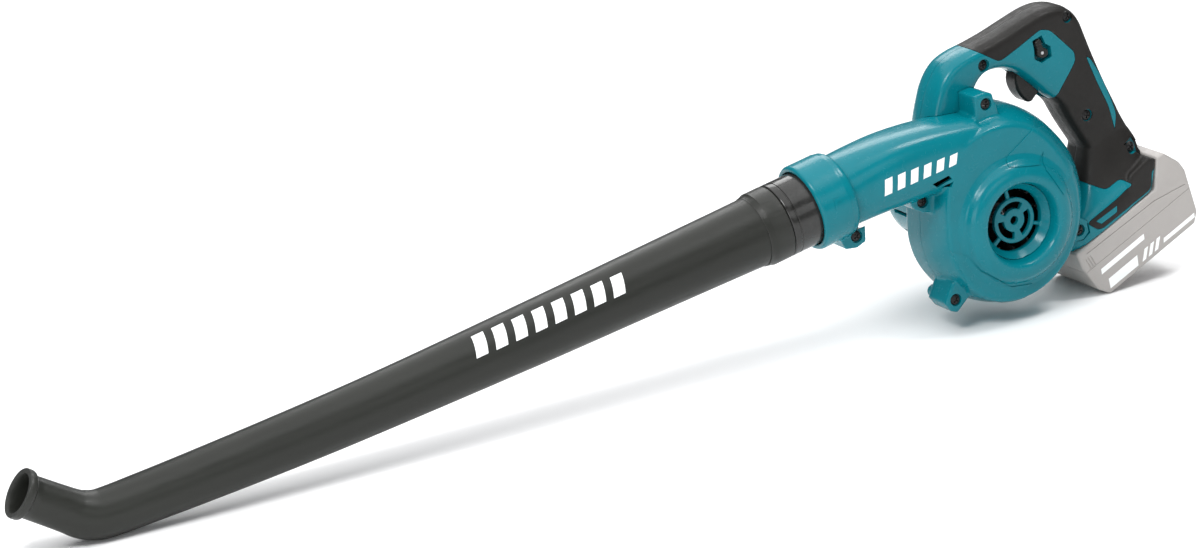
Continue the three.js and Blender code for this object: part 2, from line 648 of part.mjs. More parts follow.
// Battery pack with its hump, rails, button and cells.
const PACK_SIDE = [
  [-33, -GAP], [-34, -14], [-30, -40], [-22, -50.8], [76, -50.8], [83, -43], [90.5, -4], [89, 6],
  [80, 22], [72.5, 23], [58, -GAP],
];
const packLoop = (grow) => inset(PACK_SIDE.map(([u, w]) => onPack(u, w)), -grow);
const packForm = (depth) => layered(packLoop(-depth), [
  [-PACK_HALF + depth, 4], [-PACK_HALF + 1.5 + depth, 1.2], [-PACK_HALF + 4 + depth, 0],
  [PACK_HALF - 4 - depth, 0], [PACK_HALF - 1.5 - depth, 1.2], [PACK_HALF - depth, 4],
].map(([y, distance]) => [HANDLE_Y + y, distance]));
const SPLIT_W = -20;
const upperZone = packBox(-80, 140, -40, 90, SPLIT_W + 0.1, 60);
const lowerZone = packBox(-80, 140, -40, 90, -80, SPLIT_W - 0.1);
const buttonHole = packBox(82, 120, HANDLE_Y - 16, HANDLE_Y + 16, -14, 0);
const railBlock = cut(
  packBox(0, 44, HANDLE_Y - 20, HANDLE_Y + 20, -1, RAIL_TOP),
  packBox(-10, 50, HANDLE_Y - 8, HANDLE_Y + 8, 1, 10),
);
place('battery_case_upper', join(
  cut(packForm(0), packForm(2.5), buttonHole).intersect(upperZone),
  railBlock,
), PALE);
place('battery_case_lower', cut(packForm(0), packForm(2.5)).intersect(lowerZone), PALE);
place('battery_button', packBox(80.5, 89.5, HANDLE_Y - 15.5, HANDLE_Y + 15.5, -13.5, -0.5), BLACK);
const cellRow = [0, 1, 2, 3, 4].flatMap((i) => [0, 1].map((level) => {
  const [x, z] = onPack(-16 + i * 18.6, -38 + level * 18.6);
  return disc(CELL_R + 0.4, HANDLE_Y - 32, HANDLE_Y + 32, x, z, 10);
}));
place('battery_cells', join(...cellRow, packBox(-16, 58.4, HANDLE_Y - 22, HANDLE_Y + 22, -36, -22)), CELL);
const buttonSpring = new THREE.LineCurve3(
  new THREE.Vector3(onPack(70.5, -7)[0], HANDLE_Y, onPack(70.5, -7)[1]),
  new THREE.Vector3(onPack(80, -7)[0], HANDLE_Y, onPack(80, -7)[1]),
);
place('button_spring', wire(buttonSpring, 3, 4, 0.4), STEEL);

// Nozzle adapter that twists into the collar, then the long tapered nozzle pushed over it.
place('nozzle_adapter', tubeX([
  [25, -215], [27, -215], [27, -195], [30.4, -195], [30.8, -192], [30.8, -160.6],
  [26.6, -160.6], [26.6, -148],
  [25, -148], [25, -215],
], DUCT_Z), BLACK);
const NOZZLE_LINE = [
  [-195.6, 80, 30.4], [-200, 80, 30.8], [-212, 80, 30.8], [-216, 80.1, 29.4], [-226, 80.3, 28.4],
  [-322, 81.9, 26.7], [-414, 83.4, 25.2], [-538, 86.4, 22.9], [-624, 90, 21.8], [-708, 95.2, 20.5],
  [-757, 98.9, 19.7], [-782, 101.2, 19.3], [-793, 103.4, 19], [-803, 109, 18.2], [-812, 117.2, 17.1],
  [-835, 139.6, 16.6], [-836.4, 141, 19.4], [-841, 145.5, 19.6],
];
const bore = NOZZLE_LINE.map(([x, z, r], i) => [
  x, z, i < 4 ? 27.9 : Math.min(r - 1.8, i > 13 ? 14.6 : 99),
]);
bore[0][0] += 2;
bore[bore.length - 1] = [-842.4, 146.9, 14.6];
place('long_nozzle', cut(sweep(NOZZLE_LINE, 20), sweep(bore, 18)), NOZZLE);

// ---- stance ----
const stance = new THREE.Matrix4().makeRotationY(REST_PITCH);
const meshes = pieces.map(({ name, shape, material }) => {
  const raw = shape.simplify(SLIVER).getMesh();
  const geometry = new THREE.BufferGeometry();
  geometry.setAttribute('position', new THREE.BufferAttribute(Float32Array.from(raw.vertProperties), 3));
  geometry.setIndex(Array.from(raw.triVerts));
  geometry.applyMatrix4(stance);
  const mesh = new THREE.Mesh(geometry, material);
  mesh.name = name;
  return mesh;
});
const bounds = new THREE.Box3();
meshes.forEach((mesh) => {
  mesh.geometry.computeBoundingBox();
  bounds.union(mesh.geometry.boundingBox);
});
const middle = bounds.getCenter(new THREE.Vector3());
meshes.forEach((mesh) => {
  mesh.geometry.translate(-middle.x, -middle.y, -bounds.min.z);
  const faceted = mesh.geometry.toNonIndexed();
  faceted.computeVertexNormals();
  mesh.geometry = faceted;
  group.add(mesh);
});

export default group;
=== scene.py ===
"""Finished surfaces of a cordless garden leaf blower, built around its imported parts.

Shapes are modelled in millimetres in the tool's own frame: the fan axle lies on Y through the
origin, the nozzle points to -X and the inlet to -Y. STANCE pitches them nose down into the pose
the tool rests in and brings them to metres.
"""

import math

import bmesh
import bpy
from mathutils import Matrix, Vector


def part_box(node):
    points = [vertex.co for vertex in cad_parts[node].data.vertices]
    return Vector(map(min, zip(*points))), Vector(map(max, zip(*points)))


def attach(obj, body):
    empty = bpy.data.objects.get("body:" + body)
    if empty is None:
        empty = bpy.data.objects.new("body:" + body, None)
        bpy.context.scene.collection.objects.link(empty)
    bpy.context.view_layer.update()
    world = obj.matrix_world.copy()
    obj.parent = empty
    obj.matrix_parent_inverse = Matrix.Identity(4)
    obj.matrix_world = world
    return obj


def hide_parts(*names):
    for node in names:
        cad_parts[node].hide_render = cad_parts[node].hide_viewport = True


bl_info = {
    "name": "Leaf Blower Surfaces",
    "version": (1, 0, 0),
    "blender": (4, 5, 0),
    "location": "3D View > Sidebar > Leaf Blower",
    "description": "Builds the finished surfaces of a cordless leaf blower around its packed parts",
    "category": "Object",
}

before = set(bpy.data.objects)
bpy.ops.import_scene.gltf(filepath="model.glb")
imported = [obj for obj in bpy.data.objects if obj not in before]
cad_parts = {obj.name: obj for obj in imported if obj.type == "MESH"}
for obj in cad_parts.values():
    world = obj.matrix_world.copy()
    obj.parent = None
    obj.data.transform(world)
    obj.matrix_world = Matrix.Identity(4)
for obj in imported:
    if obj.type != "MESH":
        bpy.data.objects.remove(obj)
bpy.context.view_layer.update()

PITCH = math.radians(12.33)
AXLE_LOW, AXLE_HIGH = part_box("rotor_shaft")
AXLE_REACH = 0.008
STANCE = (
    Matrix.Translation(
        (
            (AXLE_LOW.x + AXLE_HIGH.x) / 2,
            AXLE_LOW.y + AXLE_REACH,
            (AXLE_LOW.z + AXLE_HIGH.z) / 2,
        )
    )
    @ Matrix.Rotation(-PITCH, 4, "Y")
    @ Matrix.Scale(0.001, 4)
)

GAP = 0.3
SEAM_Y = 6.0
FACE_Y = -30.0
BACK_Y = 32.0
DUCT_Z = 80.0
HANDLE_Y = 26.0
PACK_TILT = math.radians(13.9)
PACK_ORIGIN = (87.0, -52.0)
PACK_HALF = 37.5

# Scroll outline: degrees from +X towards +Z, radius at the seam, radius at the inlet face.
SCROLL = [
    (0, 82, 60), (18, 84, 61), (35, 85, 64), (50, 88, 70), (64, 91, 77), (78, 93.5, 81.5),
    (92, 94.5, 84), (106, 92, 85), (122, 85, 80), (140, 77, 72), (160, 71.5, 66), (180, 72, 65),
    (200, 72.5, 65.5), (225, 74, 66), (250, 74.5, 65.5), (275, 74, 64), (300, 74, 62),
    (320, 74, 60.5), (338, 77, 60),
]
# Shoulder of the scroll: y, share of the way from the face outline to the seam outline.
SHOULDER = [(-26, 0.24), (-20, 0.45), (-14, 0.62), (-6, 0.82), (2, 0.94), (10, 1.0)]
# Outlet duct: x, bottom z, top z, half width, corner power.
DUCT = [
    (-160, 50, 110, 30, 2), (-140, 50, 110.4, 30, 2.1), (-112, 50, 110, 30, 2.5),
    (-84, 49, 108.5, 30, 2.9), (-56, 46, 105, 30, 3), (-30, 42, 100, 30, 3),
    (-8, 38, 95, 29.5, 3),
]
TOP_LUG = [(-7, 92), (-3, 111), (8, 110.5), (14, 107), (15, 88), (-7, 86)]
BOTTOM_LUG = [(-66, -30), (-77, -44), (-73, -53), (-68, -56), (-58, -50), (-50, -45), (-55, -30)]
RIGHT_EAR = [(52, -26), (68, -31), (74, -37), (73, -47), (66, -51), (54, -49), (44, -38)]
LEFT_LUG = [(-82, 52), (-79, 42), (-72, 36), (-58, 30), (-58, 52)]
COLLAR_LUG = [(-152, 52), (-149, 38), (-139, 35), (-130, 37), (-126, 52)]
VENT_UPPER = [(-65.5, 62.5), (-49.5, 63.5), (-47.5, 59.5), (-61, 57)]
VENT_LOWER = [(-57.5, 55), (-47, 57.5), (-50, 53.5)]
FACE_PANEL = [
    (2, 50), (4, 56), (36, 69), (58, 58), (66, 40), (68, 20), (42, 8), (33, 34), (39, 47), (30, 40),
]
FACE_FOOT = [(-66, 2), (-54, -7), (-46, -24), (-22, -50), (-2, -56), (2, -64), (-26, -66), (-56, -44)]


# Screws: name, x, head face y, z, turn of the cross in degrees.
SCREWS = [
    ("cover_screw_top", 5.5, -16, 101, 20),
    ("cover_screw_bottom", -67, -16, -44.5, 48),
    ("cover_screw_left", -70, -10, 45, 12),
    ("cover_screw_right", 64.6, -8, -41.5, 35),
    ("collar_screw", -137, -14, 44.5, 62),
    ("handle_screw_front", 26, 10.5, 122, 5),
    ("handle_screw_top", 113, 10.5, 129.5, 40),
    ("handle_screw_grip", 108, 9.5, 42, 26),
    ("handle_screw_rear", 139, 6, 0, 70),
]
HEAD_R = 4.6
SHANK_R = 1.7

HANDLE_OUTLINE = [
    (-41, 66), (-40, 78), (-37, 88), (-33, 97), (-27, 108), (-20, 119), (-10, 129), (0, 134.5),
    (12, 137), (28, 137.5), (48, 139), (70, 142), (88, 144), (102, 143), (114, 138), (122, 130),
    (126, 121), (128, 108), (130, 94), (133, 76), (136, 60), (140, 42), (143, 28), (147, 14),
    (150, 0), (146, -16), (132, -22), (116, -18), (107, -6), (103, 8), (99, 20), (94, 34),
    (90, 47), (87, 58), (82, 66), (76, 72.5), (70, 82), (63, 92), (57, 100), (50, 106.5),
    (42, 110.5), (34, 112.5), (26, 112), (19, 108), (13, 101), (9, 92), (6, 80), (4, 66),
    (-2, 56), (-18, 52), (-34, 56),
]
# Side of the handle: distance from the mid plane, inset of the outline.
HANDLE_SIDE = [
    (-19, 8), (-18.4, 5.2), (-16.5, 3), (-12, 1), (-6, 0), (6, 0), (12, 1), (16.5, 3),
    (18.4, 5.2), (19, 8),
]
# Foot levels: w, first u, last u, half width.
FOOT = [
    (0.3, -36, 54, 37), (7, -38, 60, 37.5), (14, -36, 65, 37), (20, -28, 69, 35),
    (27, -10, 72, 31), (36, 6, 74, 26), (48, 20, 74, 21.5), (60, 30, 72, 18.5),
]
SKIN = [
    (15, 160), (15, 144), (41, 119.5), (60, 123.5), (85, 130), (94, 125.5), (104, 110),
    (111, 99), (110, 91), (102, 83.5), (94, 77), (86, 70), (79, 64), (60, 58), (60, 2),
    (78, -2), (101, -21), (116.5, -17.3), (124.2, -25), (106.1, -31), (73.6, -39.2),
    (80.7, -47.3), (86.1, -48.6), (108.6, -43.2), (140, -35.6), (144, -22), (148, -20),
    (190, -12), (190, 160),
]
INLAY = [
    (120, 91), (124, 88), (131.5, 68), (134.5, 49), (135.5, 32), (130, 18), (129.5, 41), (124, 67),
]
WINDOW = [(80.9, -40.4), (104.5, -35.6), (102.7, -41.4), (85.4, -45)]
# Shoulder of the foot beside the pack's hump, in the battery frame: u, w.
FOOT_SHOULDER = [
    (34, 0.3), (54, 0.3), (58, 4), (66, 14), (71, 21), (73.5, 25.5), (71, 28), (60, 27), (44, 25.5),
    (36, 18),
]
WEB = [(30, -34), (52, -46), (70, -44), (88, -24), (70, -14), (52, -8), (38, -8)]
TRIGGER_WELL = [(48, 66), (80, 66), (93, 80), (90, 102), (68, 111), (55, 103)]
LEVER_WELL = [
    (75.5, 123), (84.5, 124), (86, 116), (90, 112), (89, 104), (79, 102.5), (73.5, 108), (75, 115),
]
RECESS = [(133, 5), (142, 8), (158, -8), (154, -15), (146, -11)]
TRIGGER = [
    (57, 94.5), (56, 88), (57, 81.5), (59.5, 75.5), (63, 71), (67, 70), (71, 72.5), (76, 75),
    (82, 79), (85, 84), (78, 94), (70, 102), (62, 101),
]
LOCK_LEVER = [
    (77.5, 121), (82.5, 122), (83.5, 115), (87, 111), (86, 106.5), (80.5, 105.5), (76.5, 109),
    (77.5, 114),
]
PACK_SIDE = [
    (-33, -0.3), (-34, -14), (-30, -40), (-22, -50.8), (76, -50.8), (83, -43), (90.5, -4),
    (89, 6), (80, 22), (72.5, 23), (58, -0.3),
]
# Nozzle centre line: x, z, outer radius.
NOZZLE_SOCKET = [(-195.6, 80, 30.2), (-196.4, 80, 30.8), (-211, 80, 30.8), (-212.4, 80, 30.2)]
NOZZLE_TUBE = [
    (-216, 80.1, 29.4), (-226, 80.3, 28.4), (-322, 81.9, 26.7), (-414, 83.4, 25.2),
    (-538, 86.4, 22.9), (-624, 90, 21.8), (-708, 95.2, 20.5), (-757, 98.9, 19.7),
    (-782, 101.2, 19.3), (-793, 103.4, 19), (-803, 109, 18.2), (-812, 117.2, 17.1),
    (-835, 139.6, 16.6),
]
NOZZLE_LIP = [(-836.2, 140.8, 17.6), (-836.8, 141.4, 19.0), (-837.8, 142.4, 19.6), (-840.4, 144.9, 19.6)]


# ---- settings ----
def colour_property(name, description, default):
    return bpy.props.FloatVectorProperty(
        name=name, description=description, default=default, subtype="COLOR", size=3, min=0, max=1
    )


class BlowerColours(bpy.types.PropertyGroup):
    """Colours of the blower's finishes."""

    teal: colour_property("Teal shell", "Glossy moulded casing and handle shells", (0.0, 0.15, 0.187))
    rubber: colour_property("Grip rubber", "Soft skin on the handle and foot", (0.012, 0.011, 0.010))
    black: colour_property("Black plastic", "Trigger, lever, fan and adapter", (0.014, 0.014, 0.013))
    nozzle: colour_property("Nozzle plastic", "Satin plastic of the long nozzle", (0.017, 0.018, 0.0155))
    pack: colour_property("Pack shell", "Pale battery case", (0.36, 0.34, 0.325))
    label: colour_property("Printed bars", "Plain white printed bars", (0.84, 0.86, 0.86))
    steel: colour_property("Bright steel", "Motor can, shaft and bearings", (0.42, 0.43, 0.44))
    dark_steel: colour_property("Blackened steel", "Screws and magnets", (0.010, 0.010, 0.010))
    copper: colour_property("Copper", "Armature and commutator", (0.62, 0.27, 0.13))
    board: colour_property("Circuit board", "Speed control board", (0.02, 0.13, 0.06))
    wrap: colour_property("Cell wrap", "Film round the battery cells", (0.05, 0.16, 0.4))
    floor: colour_property("Floor", "Pale studio floor", (0.91, 0.912, 0.915))


class BlowerSizes(bpy.types.PropertyGroup):
    """Sizes of the small moulded and printed detail."""

    grain: bpy.props.FloatProperty(
        name="Casing voxel", description="Voxel of the mould blend on the casing and handle",
        default=0.0012, min=0.0006, max=0.003, unit="LENGTH", precision=4,
    )
    casing_passes: bpy.props.IntProperty(
        name="Casing blend", description="Smoothing passes that round the casing's edges",
        default=6, min=0, max=20,
    )
    handle_passes: bpy.props.IntProperty(
        name="Handle blend", description="Smoothing passes that round the handle's edges",
        default=3, min=0, max=20,
    )
    turn_steps: bpy.props.IntProperty(
        name="Turned sides", description="Sides of the turned pieces", default=96, min=24, max=192,
    )
    seam: bpy.props.FloatProperty(
        name="Parting gap", description="Gap left between two shells where they meet",
        default=0.0004, min=0.0, max=0.001, unit="LENGTH", precision=4,
    )
    print_lift: bpy.props.FloatProperty(
        name="Print height", description="How far the printed bars stand off the plastic",
        default=0.00015, min=0.00005, max=0.0005, unit="LENGTH", precision=5,
    )
    cross_width: bpy.props.FloatProperty(
        name="Cross width", description="Width of each slot in a screw's cross recess",
        default=0.0013, min=0.0005, max=0.002, unit="LENGTH", precision=4,
    )


class StageSettings(bpy.types.PropertyGroup):
    """Camera, floor and lights."""

    camera_place: bpy.props.FloatVectorProperty(
        name="Camera place", description="Where the camera stands",
        default=(-1.24939, -2.60947, 0.96320), subtype="TRANSLATION", unit="LENGTH", size=3,
    )
    camera_turn: bpy.props.FloatVectorProperty(
        name="Camera turn", description="How the camera is turned",
        default=(math.radians(73.316), math.radians(4.994), math.radians(-26.896)),
        subtype="EULER", unit="ROTATION", size=3,
    )
    lens: bpy.props.FloatProperty(
        name="Lens", description="Focal length in millimetres", default=114.0, min=20, max=300
    )
    floor_size: bpy.props.FloatProperty(
        name="Floor side", description="Side of the floor", default=40.0, min=2, unit="LENGTH"
    )
    overhead_power: bpy.props.FloatProperty(
        name="Overhead light", description="Power of the wide softbox above", default=104.0,
        min=0, unit="POWER",
    )
    key_power: bpy.props.FloatProperty(
        name="Key light", description="Power of the small softbox over the nozzle side",
        default=26.0, min=0, unit="POWER",
    )
    fill_power: bpy.props.FloatProperty(
        name="Fill light", description="Power of the wide light beside the camera", default=9.0,
        min=0, unit="POWER",
    )
    rim_power: bpy.props.FloatProperty(
        name="Rim light", description="Power of the light behind the tool", default=20.0,
        min=0, unit="POWER",
    )
    crest_power: bpy.props.FloatProperty(
        name="Crest light", description="Power of the small light over the duct", default=16.0,
        min=0, unit="POWER",
    )
    low_power: bpy.props.FloatProperty(
        name="Low light", description="Power of the light low on the nozzle side", default=9.0,
        min=0, unit="POWER",
    )


def colours():
    return bpy.context.scene.blower_colours


def sizes():
    return bpy.context.scene.blower_sizes


# ---- outlines ----
def smooth_outline(points, count):
    """Evenly spaced points on a closed centripetal curve through the given ones."""
    knots = [Vector(point) for point in points]
    fine = []
    for k in range(len(knots)):
        a, b, c, d = (knots[(k + step) % len(knots)] for step in (-1, 0, 1, 2))
        t1 = (b - a).length ** 0.5
        t2 = t1 + (c - b).length ** 0.5
        t3 = t2 + (d - c).length ** 0.5
        for step in range(16):
            t = t1 + (t2 - t1) * step / 16
            ab = a.lerp(b, t / t1)
            bc = b.lerp(c, (t - t1) / (t2 - t1))
            cd = c.lerp(d, (t - t2) / (t3 - t2))
            fine.append(ab.lerp(bc, t / t2).lerp(bc.lerp(cd, (t - t1) / (t3 - t1)), (t - t1) / (t2 - t1)))
    reach = [0.0]
    for before, after in zip(fine, fine[1:] + fine[:1]):
        reach.append(reach[-1] + (after - before).length)
    even = []
    here = 0
    for k in range(count):
        wanted = reach[-1] * k / count
        while reach[here + 1] < wanted:
            here += 1
        share = (wanted - reach[here]) / (reach[here + 1] - reach[here])
        point = fine[here].lerp(fine[(here + 1) % len(fine)], share)
        even.append((point.x, point.y))
    return even


def smooth_rows(rows, steps):
    """Rows of numbers joined by an open smooth curve, with so many steps in each gap."""
    before = [2 * a - b for a, b in zip(rows[0], rows[1])]
    after = [2 * a - b for a, b in zip(rows[-1], rows[-2])]
    line = [before, *rows, after]
    out = []
    for k in range(len(rows) - 1):
        for step in range(steps):
            t = step / steps
            out.append([
                0.5 * (2 * b + (c - a) * t + (2 * a - 5 * b + 4 * c - d) * t**2 + (3 * b - a - 3 * c + d) * t**3)
                for a, b, c, d in zip(*line[k : k + 4])
            ])
    return [*out, list(rows[-1])]


def inset_outline(outline, distance):
    """The outline moved inwards by a distance, or outwards where it is negative."""
    turns = zip(outline, outline[1:] + outline[:1])
    side = math.copysign(1, sum(a[0] * b[1] - b[0] * a[1] for a, b in turns))
    moved = []
    for k, point in enumerate(outline):
        here = Vector(point)
        before = (here - Vector(outline[k - 1])).normalized()
        after = (Vector(outline[(k + 1) % len(outline)]) - here).normalized()
        inward = (Vector((-before.y - after.y, before.x + after.x)) * side).normalized()
        square = (Vector((-after.y, after.x)) * side).dot(inward)
        moved.append(tuple(here + inward * distance / max(0.6, square)))
    return moved


def eased(outline, share=0.16):
    """The outline with every corner cut twice, so that its corners round off."""
    for _ in range(2):
        cut_corners = []
        for k, point in enumerate(outline):
            here = Vector(point)
            for other in (outline[k - 1], outline[(k + 1) % len(outline)]):
                step = (Vector(other) - here) * share
                step *= min(1.0, 2.2 / max(step.length, 1e-6))
                cut_corners.append(tuple(here + step))
        outline = cut_corners
    return outline


def on_pack(u, w):
    """Battery frame to tool frame: u runs along the slide rails, w away from the pack."""
    c = math.cos(PACK_TILT)
    s = math.sin(PACK_TILT)
    return PACK_ORIGIN[0] + u * c - w * s, PACK_ORIGIN[1] + u * s + w * c


# ---- solids ----
def solid(bm, name="blank"):
    """A scratch object from a bmesh, with its faces outwards."""
    bmesh.ops.recalc_face_normals(bm, faces=bm.faces)
    mesh = bpy.data.meshes.new(name)
    bm.to_mesh(mesh)
    bm.free()
    obj = bpy.data.objects.new(name, mesh)
    bpy.context.scene.collection.objects.link(obj)
    return obj


def discard(*objs):
    for obj in objs:
        mesh = obj.data
        bpy.data.objects.remove(obj)
        bpy.data.meshes.remove(mesh)


def copy_of(obj):
    twin = bpy.data.objects.new(obj.name, obj.data.copy())
    bpy.context.scene.collection.objects.link(twin)
    return twin


def bake(obj):
    """Applies an object's modifiers."""
    graph = bpy.context.evaluated_depsgraph_get()
    mesh = bpy.data.meshes.new_from_object(obj.evaluated_get(graph))
    before = obj.data
    obj.modifiers.clear()
    obj.data = mesh
    bpy.data.meshes.remove(before)
    return obj


def combine(obj, operation, tools):
    for tool in tools:
        modifier = obj.modifiers.new("shape", "BOOLEAN")
        modifier.operation = operation
        modifier.solver = "MANIFOLD"
        modifier.object = tool
    bake(obj)
    discard(*tools)
    return obj


def join(obj, *tools):
    return combine(obj, "UNION", tools)


def cut(obj, *tools):
    return combine(obj, "DIFFERENCE", tools)


def common(obj, tool):
    return combine(obj, "INTERSECT", [tool])


def moulded(obj, grain, passes):
    """Blends a joined shape into one moulding with rounded edges."""
    skin = obj.modifiers.new("skin", "REMESH")
    skin.mode = "VOXEL"
    skin.voxel_size = grain
    bake(obj)
    soften = obj.modifiers.new("soften", "SMOOTH")
    soften.factor = 0.5
    soften.iterations = passes
    return bake(obj)


def swollen(obj, distance):
    """A copy of a shape grown along its own normals."""
    twin = copy_of(obj)
    grow = twin.modifiers.new("grow", "DISPLACE")
    grow.mid_level = 0
    grow.strength = distance
    return bake(twin)


def loft(rings):
    """A closed skin over a stack of loops with equal point counts."""
    bm = bmesh.new()
    loops = []
    for ring in rings:
        verts = [bm.verts.new(point) for point in ring]
        loops.append([bm.edges.new((verts[k - 1], verts[k])) for k in range(len(verts))])
    for first, second in zip(loops, loops[1:]):
        bmesh.ops.bridge_loops(bm, edges=first + second)
    bmesh.ops.holes_fill(bm, edges=loops[0] + loops[-1], sides=0)
    return solid(bm)


def layered(outline, levels):
    """An outline in the XZ plane stacked along Y by (y, inset) levels."""
    return loft([
        [(x, y, z) for x, z in inset_outline(outline, distance)] for y, distance in levels
    ])


def prism(outline, y0, y1):
    bm = bmesh.new()
    face = bm.faces.new([bm.verts.new((x, y0, z)) for x, z in outline])
    pushed = bmesh.ops.extrude_face_region(bm, geom=[face])["geom"]
    bmesh.ops.translate(
        bm, vec=(0, y1 - y0, 0), verts=[part for part in pushed if isinstance(part, bmesh.types.BMVert)]
    )
    return solid(bm)


def block(x0, x1, y0, y1, z0, z1):
    return prism([(x0, z0), (x1, z0), (x1, z1), (x0, z1)], y0, y1)


def pack_block(u0, u1, y0, y1, w0, w1):
    return prism([on_pack(u0, w0), on_pack(u1, w0), on_pack(u1, w1), on_pack(u0, w1)], y0, y1)


def turned_mesh(profile, steps):
    """Profile of (radius, y) pairs turned about Y."""
    bm = bmesh.new()
    verts = [bm.verts.new((radius, y, 0)) for radius, y in profile]
    edges = [bm.edges.new(pair) for pair in zip(verts, verts[1:])]
    bmesh.ops.spin(
        bm, geom=verts + edges, cent=(0, 0, 0), axis=(0, 1, 0), angle=2 * math.pi, steps=steps,
        use_merge=True,
    )
    bmesh.ops.remove_doubles(bm, verts=bm.verts, dist=1e-4)
    return bm


def turned(profile, x=0.0, z=0.0, steps=0):
    bm = turned_mesh(profile, steps or sizes().turn_steps)
    bmesh.ops.translate(bm, vec=(x, 0, z), verts=bm.verts)
    return solid(bm)


def disc(radius, y0, y1, x=0.0, z=0.0, steps=0):
    return turned([(0, y0), (radius, y0), (radius, y1), (0, y1)], x, z, steps)


def ring(inner, outer, y0, y1):
    return turned([(inner, y0), (outer, y0), (outer, y1), (inner, y1), (inner, y0)])


def turned_on_duct(profile):
    """Profile of (radius, x) pairs turned about the outlet's axis."""
    bm = turned_mesh(profile, sizes().turn_steps)
    bmesh.ops.rotate(bm, cent=(0, 0, 0), matrix=Matrix.Rotation(-math.pi / 2, 3, "Z"), verts=bm.verts)
    bmesh.ops.translate(bm, vec=(0, 0, DUCT_Z), verts=bm.verts)
    return solid(bm)


def spoke(x0, x1, y0, y1, width, degrees):
    """A bar out from the axle, turned about it."""
    bar = block(x0, x1, y0, y1, -width / 2, width / 2)
    bar.data.transform(Matrix.Rotation(math.radians(degrees), 4, "Y"))
    return bar


def rounded_bar(outline, y0, y1, radius):
    """A prism with its edges rounded by a bevel."""
    bar = prism(outline, y0, y1)
    bm = bmesh.new()
    bm.from_mesh(bar.data)
    bmesh.ops.bevel(
        bm, geom=bm.edges, offset=radius, segments=4, profile=0.5, affect="EDGES", material=-1
    )
    bmesh.ops.remove_doubles(bm, verts=bm.verts, dist=1e-3)
    discard(bar)
    return solid(bm)


def swept(stations, sides):
    """Rings square to a path in the XZ plane; stations hold x, z, radius."""
    rings = []
    for k, (x, z, radius) in enumerate(stations):
        start = Vector(stations[max(0, k - 1)][:2])
        end = Vector(stations[min(len(stations) - 1, k + 1)][:2])
        along = (end - start).normalized()
        angles = [2 * math.pi * j / sides for j in range(sides)]
        rings.append([
            (x - along.y * radius * math.sin(a), radius * math.cos(a), z + along.x * radius * math.sin(a))
            for a in angles
        ])
    return loft(rings)


def finish_piece(obj, name, body, material, nodes=(), crease=34):
    """Brings a shape to its place, gives it its finish and hands it to its body."""
    obj.name = name
    obj.data.name = name
    obj.data.transform(STANCE)
    obj.data.materials.clear()
    obj.data.materials.append(material)
    obj.data.shade_smooth()
    obj.data.set_sharp_from_angle(angle=math.radians(crease))
    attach(obj, body)
    if nodes:
        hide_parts(*nodes)
    return obj


# ---- finishes ----
def node(tree, kind, **values):
    made = tree.nodes.new(kind)
    for key, value in values.items():
        if key in made.inputs:
            made.inputs[key].default_value = value
        else:
            setattr(made, key, value)
    return made


def shade(colour, factor):
    return (*(min(1.0, channel * factor) for channel in colour), 1.0)


